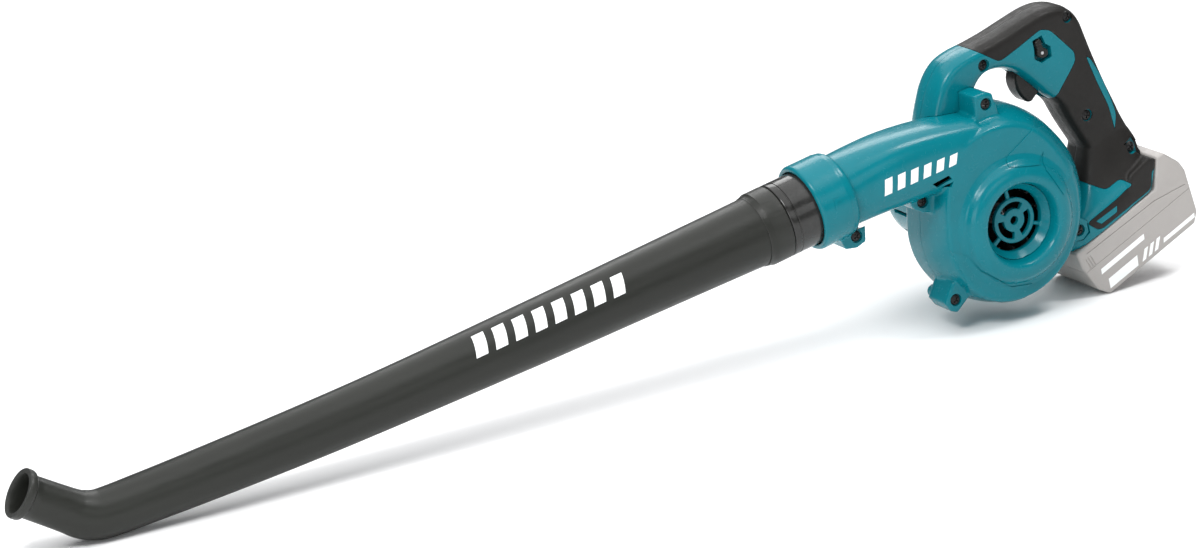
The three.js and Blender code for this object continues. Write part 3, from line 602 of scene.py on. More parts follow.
def finish(name, colour, roughness, metal=0.0, grain=1400.0, bump=0.06, mottle=0.08,
           scuff=0.12, wear=0.0, coat=0.0, stretch=(1.0, 1.0, 1.0), specular=0.5):
    """A moulded or metal finish: cloudy tone, fine grain, scuffs and worn edges."""
    known = bpy.data.materials.get(name + "_finish")
    if known:
        return known
    material = bpy.data.materials.new(name + "_finish")
    material.use_nodes = True
    material.diffuse_color = (*colour, 1.0)
    tree = material.node_tree
    link = tree.links.new
    shader = tree.nodes["Principled BSDF"]
    shader.inputs["Metallic"].default_value = metal
    shader.inputs["Specular IOR Level"].default_value = specular
    shader.inputs["Coat Weight"].default_value = coat
    shader.inputs["Coat Roughness"].default_value = 0.12
    place = node(tree, "ShaderNodeTexCoord")
    turn = node(tree, "ShaderNodeMapping", Rotation=(0.0, PITCH, 0.0), Scale=stretch)
    link(place.outputs["Object"], turn.inputs["Vector"])

    cloud = node(tree, "ShaderNodeTexNoise", Scale=26.0, Detail=5.0, Roughness=0.6)
    link(turn.outputs["Vector"], cloud.inputs["Vector"])
    tone = node(tree, "ShaderNodeValToRGB")
    tone.color_ramp.elements[0].position = 0.3
    tone.color_ramp.elements[0].color = shade(colour, 1 - mottle)
    tone.color_ramp.elements[1].position = 0.7
    tone.color_ramp.elements[1].color = shade(colour, 1 + mottle)
    link(cloud.outputs["Fac"], tone.inputs["Fac"])

    marks = node(tree, "ShaderNodeTexNoise", Scale=210.0, Detail=3.0, Roughness=0.7, Distortion=0.8)
    link(turn.outputs["Vector"], marks.inputs["Vector"])
    rub = node(tree, "ShaderNodeMapRange")
    rub.inputs["From Min"].default_value = 0.35
    rub.inputs["From Max"].default_value = 0.75
    rub.inputs["To Min"].default_value = max(0.03, roughness - scuff / 2)
    rub.inputs["To Max"].default_value = min(1.0, roughness + scuff)
    link(marks.outputs["Fac"], rub.inputs["Value"])
    link(rub.outputs["Result"], shader.inputs["Roughness"])

    edges = node(tree, "ShaderNodeNewGeometry")
    sharp = node(tree, "ShaderNodeMapRange")
    sharp.inputs["From Min"].default_value = 0.52
    sharp.inputs["From Max"].default_value = 0.62
    sharp.inputs["To Max"].default_value = wear
    link(edges.outputs["Pointiness"], sharp.inputs["Value"])
    patchy = node(tree, "ShaderNodeMath", operation="MULTIPLY")
    link(sharp.outputs["Result"], patchy.inputs[0])
    link(marks.outputs["Fac"], patchy.inputs[1])
    worn = node(tree, "ShaderNodeMix", data_type="RGBA")
    worn.inputs[7].default_value = shade([0.35 * c + 0.12 for c in colour], 1.6)
    link(patchy.outputs["Value"], worn.inputs[0])
    link(tone.outputs["Color"], worn.inputs[6])
    link(worn.outputs[2], shader.inputs["Base Color"])

    fine = node(tree, "ShaderNodeTexNoise", Scale=grain, Detail=2.0, Roughness=0.5)
    link(place.outputs["Object"], fine.inputs["Vector"])
    relief = node(tree, "ShaderNodeBump", Strength=bump, Distance=0.0003)
    link(fine.outputs["Fac"], relief.inputs["Height"])
    link(relief.outputs["Normal"], shader.inputs["Normal"])
    return material


def teal():
    return finish("teal_shell", colours().teal, 0.22, grain=1900, bump=0.035, mottle=0.05,
                  scuff=0.10, wear=0.10, specular=0.24)


def grip_rubber():
    return finish("grip_rubber", colours().rubber, 0.46, grain=2600, bump=0.32, mottle=0.2,
                  scuff=0.14, wear=0.3, specular=0.22)


def black_plastic():
    return finish("black_plastic", colours().black, 0.30, grain=1500, bump=0.05, mottle=0.15,
                  scuff=0.16, wear=0.3, specular=0.2)


def nozzle_plastic():
    return finish("nozzle_plastic", colours().nozzle, 0.36, grain=2100, bump=0.16, mottle=0.14,
                  scuff=0.12, wear=0.25, stretch=(0.12, 1.0, 1.0), specular=0.25)


def pack_shell():
    return finish("pack_shell", colours().pack, 0.48, grain=2200, bump=0.12, mottle=0.035,
                  scuff=0.12, wear=0.2)


def printed_white():
    return finish("printed_white", colours().label, 0.38, grain=3200, bump=0.08, mottle=0.05,
                  scuff=0.15)


def bright_steel():
    return finish("steel", colours().steel, 0.28, metal=0.95, grain=1200, bump=0.06, mottle=0.08,
                  scuff=0.2, stretch=(1.0, 8.0, 1.0))


def dark_steel():
    return finish("dark_steel", colours().dark_steel, 0.38, metal=0.55, grain=1600, bump=0.12,
                  mottle=0.2, scuff=0.2, wear=0.8)


def copper():
    return finish("copper", colours().copper, 0.3, metal=0.9, grain=900, bump=0.3, mottle=0.18,
                  scuff=0.2, stretch=(1.0, 6.0, 1.0))


def board_green():
    return finish("board_green", colours().board, 0.42, grain=700, bump=0.25, mottle=0.25,
                  scuff=0.15)


def cell_wrap():
    return finish("cell_wrap", colours().wrap, 0.3, grain=500, bump=0.08, mottle=0.1, scuff=0.12)


FINISHES = {
    "teal_shell": teal,
    "black_plastic": black_plastic,
    "grip_rubber": grip_rubber,
    "nozzle_plastic": nozzle_plastic,
    "pack_shell": pack_shell,
    "steel": bright_steel,
    "dark_steel": dark_steel,
    "copper": copper,
    "board_green": board_green,
    "cell_wrap": cell_wrap,
}


# ---- shared forms ----
def scroll_outline(share, count):
    points = []
    for angle, seam, face in SCROLL:
        radius = face + (seam - face) * share
        points.append((radius * math.cos(math.radians(angle)), radius * math.sin(math.radians(angle))))
    return smooth_outline(points, count)


def scroll_body(grow, count=120):
    levels = [(FACE_Y - grow, 0.0, 0), *[(y, share, 0) for y, share in SHOULDER]]
    levels += [(BACK_Y - 5, 1.0, 0), (BACK_Y + grow, 1.0, 4)]
    return loft([
        [(x, y, z) for x, z in inset_outline(scroll_outline(share, count), step - grow)]
        for y, share, step in levels
    ])


def duct_body(grow, stretch=0.0, sides=64):
    rings = []
    for k, (x, low, high, half, power) in enumerate(smooth_rows(DUCT, 6)):
        middle = (low + high) / 2
        tall = (high - low) / 2 + grow
        at = x - (stretch if k == 0 else 0)
        ring_points = []
        for j in range(sides):
            c = math.cos(2 * math.pi * j / sides)
            s = math.sin(2 * math.pi * j / sides)
            y = math.copysign((half + grow) * abs(c) ** (2 / power), c)
            z = math.copysign(tall * abs(s) ** (2 / power), s)
            ring_points.append((at, y, middle + z))
        rings.append(ring_points)
    return loft(rings)


def handle_body(depth):
    return layered(smooth_outline(HANDLE_OUTLINE, 150), [
        (HANDLE_Y + math.copysign(max(0.0, abs(y) - depth * 0.9), y), distance + depth)
        for y, distance in HANDLE_SIDE
    ])


def foot_body(depth, sides=64):
    rings = []
    for w, u0, u1, half in smooth_rows(FOOT, 3):
        middle = (u0 + u1) / 2
        long = (u1 - u0) / 2 - depth
        wide = half - depth
        level = min(w, FOOT[-1][0] - depth)
        ring_points = []
        for j in range(sides):
            c = math.cos(2 * math.pi * j / sides)
            s = math.sin(2 * math.pi * j / sides)
            x, z = on_pack(middle + math.copysign(long * abs(c) ** 0.45, c), level)
            ring_points.append((x, HANDLE_Y + math.copysign(wide * abs(s) ** 0.45, s), z))
        if not rings or level > last_level + 0.01:
            rings.append(ring_points)
        last_level = level
    return loft(rings)


def screw_hole(x, y, z, depth, slack=0.7):
    return join(
        disc(HEAD_R + slack, y - 14, y, x, z, 40),
        disc(SHANK_R + 0.4, y - 1, y + depth, x, z, 20),
    )


def housing_clear():
    return turned([
        (0, 20), (48 + GAP, 20), (48 + GAP, BACK_Y + GAP), (43 + GAP, 50), (42 + GAP, 130), (0, 130),
    ])


def screw_rows(*names):
    return [row[1:4] for row in SCREWS if row[0] in names]


# ---- operators ----
class BLOWER_OT_casing(bpy.types.Operator):
    """Inlet cover and scroll back: one moulding blended from scroll, duct and lugs, then split"""

    bl_idname = "blower.casing"
    bl_label = "Casing"

    def execute(self, context):
        grain = sizes().grain * 1000
        boss = turned([
            (0, FACE_Y + 4), (55, FACE_Y + 4), (55, FACE_Y - 0.9), (52, FACE_Y - 1.3), (50.8, -33.4),
            (49, -36.2), (45.6, -38.8), (41, -40.2), (37, -40.4), (0, -40.4),
        ])
        flare = turned([
            (0, -60), (40, -60), (37.2, -41.2), (34.6, -39.4), (32.6, -35.5), (31.9, -30), (0, -30),
        ])
        form = join(
            scroll_body(0), duct_body(0), boss,
            prism(TOP_LUG, -18, BACK_Y - 12),
            prism(BOTTOM_LUG, -18, BACK_Y - 22),
            prism(LEFT_LUG, -12.5, BACK_Y - 8),
        )
        cut(form, flare, disc(31.9, -40, FACE_Y + 2))
        moulded(form, grain, sizes().casing_passes)
        for outline, rise in ((FACE_PANEL, 0.7), (FACE_FOOT, 0.6)):
            raised = common(swollen(form, rise), prism(outline, -60, -16))
            join(form, raised)

        bars = []
        for k in range(6):
            left = -110 + 12.4 * k
            top = 84.5 - 1.15 * k
            base = 71.5 - 0.3 * k
            corners = [(left, base), (left + 7.2, base), (left + 11, top), (left + 3.8, top)]
            bars.append(prism(corners, -60, -10))
        bars = join(bars[0], *bars[1:])
        print_skin = common(swollen(form, sizes().print_lift * 1000), bars)
        cut(print_skin, copy_of(form))
        finish_piece(print_skin, "duct_bars", "housing", printed_white())

        cavity = join(scroll_body(-2.6), duct_body(-2.6, 4))
        cut(form, cavity)
        columns = [disc(5.2, y, 18, x, z, 32)
                   for x, y, z in screw_rows("cover_screw_top", "cover_screw_bottom", "cover_screw_left")]
        join(form, *columns)
        cut(form, disc(31.9, -60, FACE_Y + 8), *[
            screw_hole(x, y, z, 34)
            for x, y, z in screw_rows("cover_screw_top", "cover_screw_bottom", "cover_screw_left")
        ])
        cut(form, prism(VENT_UPPER, -44, -18), prism(VENT_LOWER, -44, -18))
        half_gap = sizes().seam * 500
        back = common(copy_of(form), block(-220, 130, SEAM_Y + half_gap, 60, -120, 160))
        common(form, block(-220, 130, -70, SEAM_Y - half_gap, -120, 160))
        ear = moulded(prism(RIGHT_EAR, -10, BACK_Y - 6), 0.9, 3)
        cut(ear, scroll_body(-0.4))
        join(back, ear)
        holes = [screw_hole(x, y, z, 20) for x, y, z in screw_rows("cover_screw_right")]
        cut(back, disc(30, 20, 40), *holes)
        finish_piece(form, "inlet_cover_shell", "housing", teal(), ["inlet_cover"])
        finish_piece(back, "scroll_back_shell", "housing", teal(), ["scroll_back"])
        return {"FINISHED"}


class BLOWER_OT_guard(bpy.types.Operator):
    """Slotted inlet guard on three struts inside the inlet"""

    bl_idname = "blower.guard"
    bl_label = "Inlet guard"

    def execute(self, context):
        guard = join(
            disc(19.2, -25, -21),
            turned([(31.5, -30.5), (26.2, -24), (26.2, -19), (31.5, -19), (31.5, -30.5)]),
            *[spoke(17, 27.2, -24.2, -21.4, 3.2, angle) for angle in (30, 150, 270)],
        )
        slots = []
        for middle in (90, 210, 330):
            steps = [math.radians(middle - 45 + 6 * k) for k in range(16)]
            outer = [(15.6 * math.cos(a), 15.6 * math.sin(a)) for a in steps]
            inner = [(9.8 * math.cos(a), 9.8 * math.sin(a)) for a in reversed(steps)]
            slots.append(prism(outer + inner, -30, -18))
        cut(guard, disc(3.6, -30, -18), *slots)
        moulded(guard, 0.45, 3)
        finish_piece(guard, "inlet_guard_ring", "housing", teal(), ["inlet_guard"])
        return {"FINISHED"}


class BLOWER_OT_collar(bpy.types.Operator):
    """Outlet collar clamped on the duct by its lug"""

    bl_idname = "blower.collar"
    bl_label = "Outlet collar"

    def execute(self, context):
        collar = turned_on_duct([
            (31.6, -170), (34.7, -170), (36.2, -167.6), (36.2, -143), (35.6, -141.2), (35.6, -139),
            (33.7, -136), (31.6, -136), (31.6, -170),
        ])
        lug = prism(COLLAR_LUG, -16, 8)
        cut(lug, turned_on_duct([(0, -175), (34, -175), (34, -120), (0, -120)]))
        lug_form = join(collar, lug)
        moulded(lug_form, 0.9, 3)
        arrow = [(-158, 82), (-155.6, 82), (-154.2, 87), (-150.6, 87), (-152, 90.6), (-156.6, 90.6)]
        mark = prism(arrow, -40, -20)
        raised = common(swollen(lug_form, 0.35), mark)
        join(lug_form, raised)
        cut(lug_form, duct_body(GAP), turned_on_duct([(0, -175), (31.6, -175), (31.6, -130), (0, -130)]))
        x, y, z = screw_rows("collar_screw")[0]
        cut(lug_form, screw_hole(x, y, z, 26))
        finish_piece(lug_form, "outlet_collar_ring", "housing", teal(), ["outlet_collar"])
        return {"FINISHED"}


class BLOWER_OT_motor_housing(bpy.types.Operator):
    """Vented motor housing on the far side"""

    bl_idname = "blower.motor_housing"
    bl_label = "Motor housing"

    def execute(self, context):
        housing = turned([
            (0, BACK_Y + GAP), (47, BACK_Y + GAP), (48, BACK_Y + 1.3), (46.4, 40), (43.6, 48),
            (43, 50), (42.6, 75), (42, 100), (41.2, 107), (39.6, 112.4), (37, 116.2), (33.4, 118.8),
            (29, 120), (14, 120), (13, 119.2), (0, 119.2),
        ])
        inner = turned([(0, BACK_Y - 4), (40, BACK_Y - 4), (39, 100), (37, 110), (32, 116), (0, 117)])
        ends = []
        for z in (-18, -9, 0, 9, 18):
            reach = math.sqrt(26**2 - z**2)
            low, high = z - 1.6, z + 1.6
            corners = [(-reach, low), (reach, low), (reach, high), (-reach, high)]
            ends.append(rounded_bar(corners, 108, 130, 0.9))
        sides = [spoke(30, 50, 74, 98, 4, angle) for angle in (120, 150, 180, 210, 240)]
        ribs = [spoke(38, 43.6, 56, 104, 2.2, angle) for angle in (60, 90, 270, 300)]
        join(housing, *ribs)
        moulded(housing, 1.1, 2)
        cut(housing, inner, *ends, *sides)
        finish_piece(housing, "motor_housing_shell", "housing", teal(), ["motor_housing"])
        return {"FINISHED"}


class BLOWER_OT_handle(bpy.types.Operator):
    """Handle halves and their soft skins, with wells for trigger, lever and screws"""

    bl_idname = "blower.handle"
    bl_label = "Handle and skins"

    def execute(self, context):
        shoulder = rounded_bar([on_pack(u, w) for u, w in FOOT_SHOULDER], HANDLE_Y - 37, HANDLE_Y + 37, 2.2)
        form = join(handle_body(0), foot_body(0), shoulder)
        moulded(form, sizes().grain * 1000, sizes().handle_passes)
        inner = join(handle_body(2), foot_body(2))
        core = join(handle_body(2 + GAP), foot_body(2 + GAP))
        hollow = join(
            handle_body(5), foot_body(5),
            pack_block(-20, 46, HANDLE_Y - 24, HANDLE_Y + 24, -10, 20),
            pack_block(-22, 90, HANDLE_Y - 21, HANDLE_Y + 21, -10, 4.8),
        )
        skin_edge = eased(SKIN)
        inlay_edge = eased(INLAY)
        skin_region = cut(prism(skin_edge, -60, 110), prism(inlay_edge, -60, 110), prism(WINDOW, -60, 110))
        clear_region = cut(
            prism(inset_outline(skin_edge, -0.5), -60, 110),
            prism(inset_outline(inlay_edge, 0.5), -60, 110),
            prism(inset_outline(WINDOW, 0.4), -60, 110),
        )
        names = ("handle_screw_front", "handle_screw_top", "handle_screw_grip", "handle_screw_rear")
        clear = join(
            scroll_body(GAP), duct_body(GAP), housing_clear(),
            prism(inset_outline(TOP_LUG, -GAP), -40, BACK_Y - 12 + GAP),
            prism(inset_outline(BOTTOM_LUG, -GAP), -40, BACK_Y),
            prism(inset_outline(RIGHT_EAR, -GAP), -40, BACK_Y - 6 + GAP),
        )
        wells = join(
            prism(TRIGGER_WELL, HANDLE_Y - 9.6, HANDLE_Y + 9.6),
            prism(RECESS, HANDLE_Y - 40, HANDLE_Y - 14),
            *[screw_hole(x, y - 6, z, 36) for x, y, z in screw_rows(*names)],
            *[disc(HEAD_R + 0.8, y - 30, y, x, z, 40) for x, y, z in screw_rows(*names)],
        )
        skin = common(cut(copy_of(form), inner), skin_region)
        cut(skin, copy_of(clear), copy_of(wells))
        columns = [disc(5.6, y, HANDLE_Y + 16, x, z, 32) for x, y, z in screw_rows(*names)]
        columns = common(join(columns[0], *columns[1:]), copy_of(core))
        hard = cut(form, clear_region)
        join(hard, core, prism(WEB, BACK_Y + 6, HANDLE_Y + 32))
        cut(hard, hollow)
        join(hard, columns)
        cut(hard, clear, wells)
        join(hard, prism(inset_outline(LEVER_WELL, -1.5), HANDLE_Y - 16, HANDLE_Y - 11))
        cut(hard, prism(inset_outline(LEVER_WELL, -0.5), HANDLE_Y - 30, HANDLE_Y - 12.5))
        half_gap = sizes().seam * 500
        near = (-200, 250, -100, HANDLE_Y - half_gap, -160, 200)
        far = (-200, 250, HANDLE_Y + half_gap, 160, -160, 200)
        finish_piece(common(copy_of(skin), block(*near)), "grip_skin_near_cover", "housing",
                     grip_rubber(), ["grip_skin_near"])
        finish_piece(common(skin, block(*far)), "grip_skin_far_cover", "housing",
                     grip_rubber(), ["grip_skin_far"])
        finish_piece(common(copy_of(hard), block(*near)), "handle_half_near_shell", "housing",
                     teal(), ["handle_half_near"])
        finish_piece(common(hard, block(*far)), "handle_half_far_shell", "housing",
                     teal(), ["handle_half_far"])
        return {"FINISHED"}


class BLOWER_OT_controls(bpy.types.Operator):
    """Trigger and lock lever"""

    bl_idname = "blower.controls"
    bl_label = "Trigger and lever"

    def execute(self, context):
        trigger = layered(smooth_outline(TRIGGER, 90), [
            (HANDLE_Y + y, distance)
            for y, distance in ((-9, 2.2), (-8.4, 1.1), (-7, 0.2), (7, 0.2), (8.4, 1.1), (9, 2.2))
        ])
        ridges = [prism([(52, 76 + 5 * k), (56.4 - 0.5 * k, 76.6 + 5 * k), (52, 77.2 + 5 * k)],
                        HANDLE_Y - 12, HANDLE_Y + 12) for k in range(4)]
        cut(trigger, *ridges, prism([(70, 83), (90, 83), (90, 92), (70, 92)], HANDLE_Y - 4, HANDLE_Y + 4))
        moulded(trigger, 0.6, 2)
        finish_piece(trigger, "trigger_blade", "trigger", black_plastic(), ["trigger"])

        lever = join(
            layered(smooth_outline(LOCK_LEVER, 60), [
                (HANDLE_Y - 19.6, 0.9), (HANDLE_Y - 18.6, 0.1), (HANDLE_Y - 15.5, 0),
            ]),
            disc(3.4, HANDLE_Y - 15.8, HANDLE_Y - 13, 81.5, 110, 48),
        )
        cut(lever, disc(1.6, HANDLE_Y - 30, HANDLE_Y, 81.5, 110, 32), *[
            prism([(70, 117.2 + 1.7 * k), (90, 118 + 1.7 * k), (90, 118.6 + 1.7 * k), (70, 117.8 + 1.7 * k)],
                  HANDLE_Y - 21, HANDLE_Y - 19.1) for k in range(3)
        ])
        moulded(lever, 0.3, 1)
        finish_piece(
            lever, "lock_lever_blade", "lock_lever", black_plastic(), ["lock_lever"]
        )
        return {"FINISHED"}


class BLOWER_OT_battery(bpy.types.Operator):
    """Battery case in two halves, its button and its printed bars"""

    bl_idname = "blower.battery"
    bl_label = "Battery pack"

    def execute(self, context):
        side = [on_pack(u, w) for u, w in PACK_SIDE]
        near_y = HANDLE_Y - PACK_HALF
        far_y = HANDLE_Y + PACK_HALF
        case = rounded_bar(side, near_y, far_y, 2.0)
        grooves = []
        for y0, y1 in ((near_y - 2, near_y + 0.5), (far_y - 0.5, far_y + 2)):
            for corners in (
                [(-24, -5.2), (52, -7.4), (52, -8.1), (-24, -5.9)],
                [(52, -7.4), (84, -14), (84, -14.7), (52, -8.1)],
            ):
                grooves.append(prism([on_pack(u, w) for u, w in corners], y0, y1))
            for k in range(3):
                u = -28 + 2.6 * k
                groove = [on_pack(u, -9), on_pack(u + 1, -9), on_pack(u + 1.6, -19), on_pack(u + 0.6, -19)]
                grooves.append(prism(groove, y0, y1))
        cut(case, *grooves)
        inner = prism(inset_outline(side, 2.8), near_y + 2.5, far_y - 2.5)
        cut(case, inner)
        upper = common(copy_of(case), pack_block(-80, 140, -40, 90, -19.85, 60))
        cut(upper, pack_block(82, 120, HANDLE_Y - 16, HANDLE_Y + 16, -14, 0))
        rails = cut(
            pack_block(0, 44, HANDLE_Y - 20, HANDLE_Y + 20, -1, 4),
            pack_block(-10, 50, HANDLE_Y - 8, HANDLE_Y + 8, 1, 10),
        )
        join(upper, rails)
        common(case, pack_block(-80, 140, -40, 90, -80, -20.15))
        finish_piece(upper, "battery_case_upper_shell", "battery_pack", pack_shell(),
                     ["battery_case_upper"])
        finish_piece(case, "battery_case_lower_shell", "battery_pack", pack_shell(),
                     ["battery_case_lower"])
        corners = [(80.5, -13.5), (89.5, -13.5), (89.5, -0.5), (80.5, -0.5)]
        button = rounded_bar([on_pack(u, w) for u, w in corners], HANDLE_Y - 15.5, HANDLE_Y + 15.5, 1.2)
        finish_piece(button, "battery_button_cap", "battery_button", black_plastic(),
                     ["battery_button"])

        lift = sizes().print_lift * 1000
        bars = [
            [(-21, -30.5), (28, -30.5), (29.6, -26), (-19.4, -26)],
            [(-20, -46.5), (12, -46.5), (15.4, -38), (-17.4, -38)],
            [(17, -46.5), (21, -46.5), (28, -38), (24, -38)],
            [(24, -46.5), (28, -46.5), (35, -38), (31, -38)],
            [(31, -46.5), (35, -46.5), (42, -38), (38, -38)],
            [(42, -45.5), (78, -45.5), (79.4, -42), (44, -42)],
        ]
        print_skin = None
        for bar in bars:
            for y0, y1 in ((near_y - lift, near_y - 0.01), (far_y + 0.01, far_y + lift)):
                piece = prism([on_pack(u, w) for u, w in bar], y0, y1)
                print_skin = join(print_skin, piece) if print_skin else piece
        finish_piece(print_skin, "battery_bars", "battery_pack", printed_white())
        return {"FINISHED"}


class BLOWER_OT_adapter(bpy.types.Operator):
    """Glossy twist adapter between collar and nozzle"""

    bl_idname = "blower.adapter"
    bl_label = "Nozzle adapter"

    def execute(self, context):
        adapter = turned_on_duct([
            (25, -215), (27, -215), (27, -195), (29.9, -195), (30.5, -194.5), (30.8, -193.6),
            (30.8, -189.4), (30.4, -189), (30.4, -188.2), (30.8, -187.8), (30.8, -161), (30.4, -160.6),
            (26.6, -160.6), (26.6, -148.6), (26.2, -148), (25, -148), (25, -215),
        ])
        material = finish("adapter_gloss", colours().black, 0.16, grain=1300, bump=0.03, mottle=0.15,
                          scuff=0.14, wear=0.3, specular=0.4)
        finish_piece(
            adapter, "nozzle_adapter_ring", "adapter", material, ["nozzle_adapter"]
        )
        return {"FINISHED"}


class BLOWER_OT_nozzle(bpy.types.Operator):
    """Long tapered nozzle with its upturned lipped mouth and printed bars"""

    bl_idname = "blower.nozzle"
    bl_label = "Long nozzle"

    def execute(self, context):
        tube = smooth_rows(NOZZLE_TUBE, 7)
        outside = NOZZLE_SOCKET + tube + NOZZLE_LIP
        sides = sizes().turn_steps
        nozzle = swept([*outside, (-841, 145.5, 19.2)], sides)
        inside = [(-193.6, 80, 27.9), (-212, 80, 27.9), (-215.4, 80.1, 27.6)]
        inside += [(x, z, min(r - 1.8, 26.8)) for x, z, r in tube[1:-1] if x > -800]
        inside += [(x, z, 14.6) for x, z, r in tube[1:-1] if x <= -800]
        inside += [(-835, 139.6, 14.6), (-839.6, 144.1, 14.9), (-841.8, 146.3, 16.4), (-842.4, 146.9, 17)]
        bars = []
        for k in range(8):
            left = -478 + 17.4 * k
            axis = 83.4 + (-414 - left) * 0.024
            bars.append(prism([(left, axis + 9), (left + 10.4, axis + 9), (left + 15.8, axis + 22),
                               (left + 5.4, axis + 22)], -60, -2))
        bars = join(bars[0], *bars[1:])
        print_skin = common(swollen(nozzle, sizes().print_lift * 1000), bars)
        cut(print_skin, copy_of(nozzle))
        finish_piece(print_skin, "nozzle_bars", "nozzle", printed_white())
        cut(nozzle, swept(inside, sides))
        finish_piece(
            nozzle, "long_nozzle_tube", "nozzle", nozzle_plastic(), ["long_nozzle"]
        )
        return {"FINISHED"}


class BLOWER_OT_screws(bpy.types.Operator):
    """Cross-head screws of the casing, collar and handle"""

    bl_idname = "blower.screws"
    bl_label = "Screws"

    def execute(self, context):
        cad_depth = {"cover_screw_left": 30, "cover_screw_right": 20, "collar_screw": 26}
        for name, x, y, z, degrees in SCREWS:
            depth = cad_depth.get(name, 34 if name.startswith("cover") or name.endswith("rear") else 30)
            screw = turned([
                (0, y - 1.9), (1.9, y - 1.85), (3.0, y - 1.6), (3.9, y - 1.15), (4.4, y - 0.7),
                (HEAD_R, y - 0.3), (4.5, y - 0.2), (SHANK_R, y - 0.2), (SHANK_R, y + depth - 10),
                (0.5, y + depth - 8), (0, y + depth - 8),
            ], steps=40)
            width = sizes().cross_width * 1000
            slots = []
            for turn_by in (0, 90):
                slot = block(-2.7, 2.7, y - 3, y - 0.5, -width / 2, width / 2)
                slot.data.transform(Matrix.Rotation(math.radians(degrees + turn_by), 4, "Y"))
                slot.data.transform(Matrix.Translation((x, 0, z)))
                slots.append(slot)
            screw.data.transform(Matrix.Translation((x, 0, z)))
            cut(screw, join(slots[0], slots[1]))
            finish_piece(screw, name + "_cross", "housing", dark_steel(), [name])
        return {"FINISHED"}


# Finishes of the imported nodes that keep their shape; the rest are teal.
NODE_SLOTS = {
    "motor_can": "steel", "magnet_ring": "dark_steel", "motor_front_bell": "steel",
    "motor_end_bell": "black_plastic", "front_bearing": "steel", "rear_bearing": "steel",
    "rotor_shaft": "steel", "armature": "copper", "commutator": "copper",
    "brush_top": "dark_steel", "brush_bottom": "dark_steel", "impeller": "black_plastic",
    "impeller_nut": "steel", "trigger_spring": "steel", "switch_body": "black_plastic",
    "lock_lever_pin": "steel", "control_board": "board_green", "terminal_block": "black_plastic",
    "battery_cells": "cell_wrap", "button_spring": "steel",
}


class BLOWER_OT_inner_finishes(bpy.types.Operator):
    """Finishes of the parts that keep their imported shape: motor, fan, switch, board and cells"""

    bl_idname = "blower.inner_finishes"
    bl_label = "Inner parts"

    def execute(self, context):
        for name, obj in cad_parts.items():
            slot = NODE_SLOTS.get(name, "teal_shell")
            for k in range(len(obj.material_slots)):
                obj.material_slots[k].material = FINISHES[slot]()
        return {"FINISHED"}


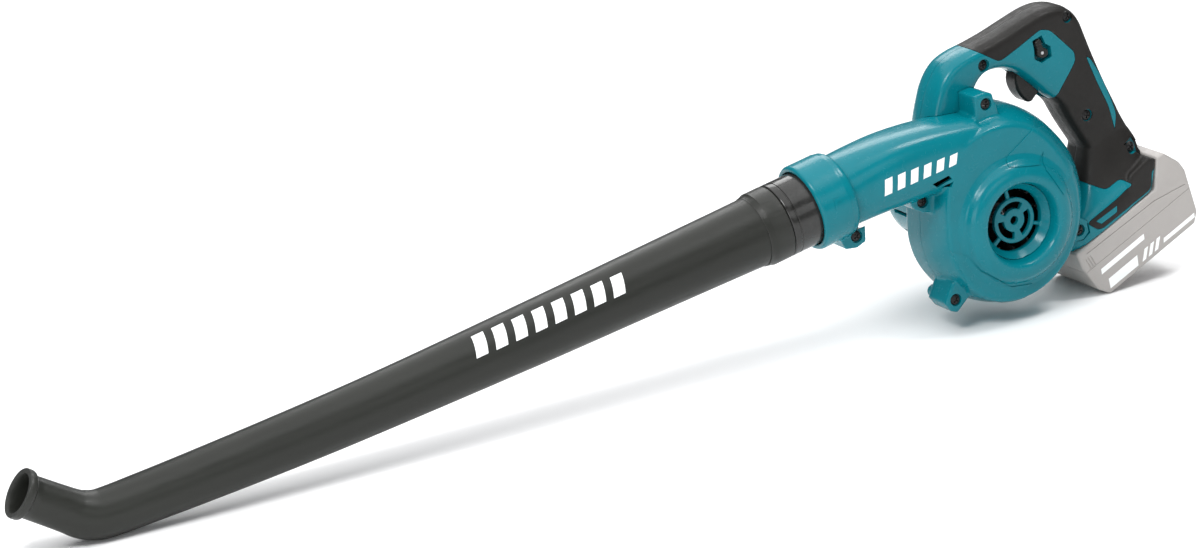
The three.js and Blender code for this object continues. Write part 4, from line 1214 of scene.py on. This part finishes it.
class BLOWER_OT_stage(bpy.types.Operator):
    """Pale floor, soft lights and the camera"""

    bl_idname = "blower.stage"
    bl_label = "Stage"

    def execute(self, context):
        settings = context.scene.blower_stage
        bm = bmesh.new()
        bmesh.ops.create_grid(bm, x_segments=8, y_segments=8, size=settings.floor_size / 2)
        floor = solid(bm, "studio_floor")
        material = bpy.data.materials.new("floor_pale")
        material.use_nodes = True
        tree = material.node_tree
        shader = tree.nodes["Principled BSDF"]
        shader.inputs["Roughness"].default_value = 0.7
        place = node(tree, "ShaderNodeTexCoord")
        cloud = node(tree, "ShaderNodeTexNoise", Scale=3.0, Detail=4.0)
        tree.links.new(place.outputs["Object"], cloud.inputs["Vector"])
        tone = node(tree, "ShaderNodeValToRGB")
        tone.color_ramp.elements[0].color = shade(colours().floor, 0.985)
        tone.color_ramp.elements[1].color = shade(colours().floor, 1.0)
        tree.links.new(cloud.outputs["Fac"], tone.inputs["Fac"])
        tree.links.new(tone.outputs["Color"], shader.inputs["Base Color"])
        floor.data.materials.append(material)

        world = context.scene.world or bpy.data.worlds.new("studio")
        context.scene.world = world
        world.use_nodes = True
        background = world.node_tree.nodes["Background"]
        background.inputs["Color"].default_value = (0.93, 0.96, 1.0, 1.0)
        background.inputs["Strength"].default_value = 0.2

        for name, power, place_at, side, depth in (
            ("overhead_softbox", settings.overhead_power, (-0.1, 0.1, 2.9), 4.4, 4.4),
            ("key_softbox", settings.key_power, (-1.1, -0.9, 1.7), 0.9, 0.5),
            ("fill_softbox", settings.fill_power, (0.4, -2.6, 1.2), 1.6, 1.0),
            ("rim_softbox", settings.rim_power, (0.9, 1.6, 1.5), 1.6, 0.9),
            ("crest_softbox", settings.crest_power, (1.1, -0.64, 2.06), 0.5, 0.5),
            ("low_softbox", settings.low_power, (-1.5, -1.6, 0.5), 1.2, 0.7),
        ):
            data = bpy.data.lights.new(name, "AREA")
            data.energy = power
            data.shape = "RECTANGLE"
            data.size = side
            data.size_y = depth
            light = bpy.data.objects.new(name, data)
            light.location = place_at
            aim = Vector((0.1, 0.0, 0.1)) - Vector(place_at)
            light.rotation_euler = aim.to_track_quat("-Z", "Y").to_euler()
            context.scene.collection.objects.link(light)

        data = bpy.data.cameras.new("camera")
        data.lens = settings.lens
        data.sensor_width = 36.0
        data.clip_end = 100.0
        camera = bpy.data.objects.new("camera", data)
        camera.location = settings.camera_place
        camera.rotation_euler = settings.camera_turn
        context.scene.collection.objects.link(camera)
        context.scene.camera = camera
        context.scene.view_settings.view_transform = "Standard"
        return {"FINISHED"}


PIECES = (
    BLOWER_OT_stage,
    BLOWER_OT_inner_finishes,
    BLOWER_OT_casing,
    BLOWER_OT_guard,
    BLOWER_OT_collar,
    BLOWER_OT_motor_housing,
    BLOWER_OT_handle,
    BLOWER_OT_controls,
    BLOWER_OT_battery,
    BLOWER_OT_adapter,
    BLOWER_OT_nozzle,
    BLOWER_OT_screws,
)


class BLOWER_PT_pieces(bpy.types.Panel):
    """Lists the pieces of the blower"""

    bl_idname = "BLOWER_PT_pieces"
    bl_label = "Leaf Blower"
    bl_space_type = "VIEW_3D"
    bl_region_type = "UI"
    bl_category = "Leaf Blower"

    def draw(self, context):
        for piece in PIECES:
            self.layout.operator(piece.bl_idname)
        for group in (context.scene.blower_colours, context.scene.blower_sizes, context.scene.blower_stage):
            box = self.layout.box()
            for name in group.__annotations__:
                box.prop(group, name)


CLASSES = (BlowerColours, BlowerSizes, StageSettings, *PIECES, BLOWER_PT_pieces)


def register():
    for made in CLASSES:
        bpy.utils.register_class(made)
    bpy.types.Scene.blower_colours = bpy.props.PointerProperty(type=BlowerColours)
    bpy.types.Scene.blower_sizes = bpy.props.PointerProperty(type=BlowerSizes)
    bpy.types.Scene.blower_stage = bpy.props.PointerProperty(type=StageSettings)


def unregister():
    del bpy.types.Scene.blower_stage
    del bpy.types.Scene.blower_sizes
    del bpy.types.Scene.blower_colours
    for made in reversed(CLASSES):
        bpy.utils.unregister_class(made)


def main():
    register()
    for piece in PIECES:
        group, name = piece.bl_idname.split(".")
        getattr(getattr(bpy.ops, group), name)()


if __name__ == "__main__":
    main()
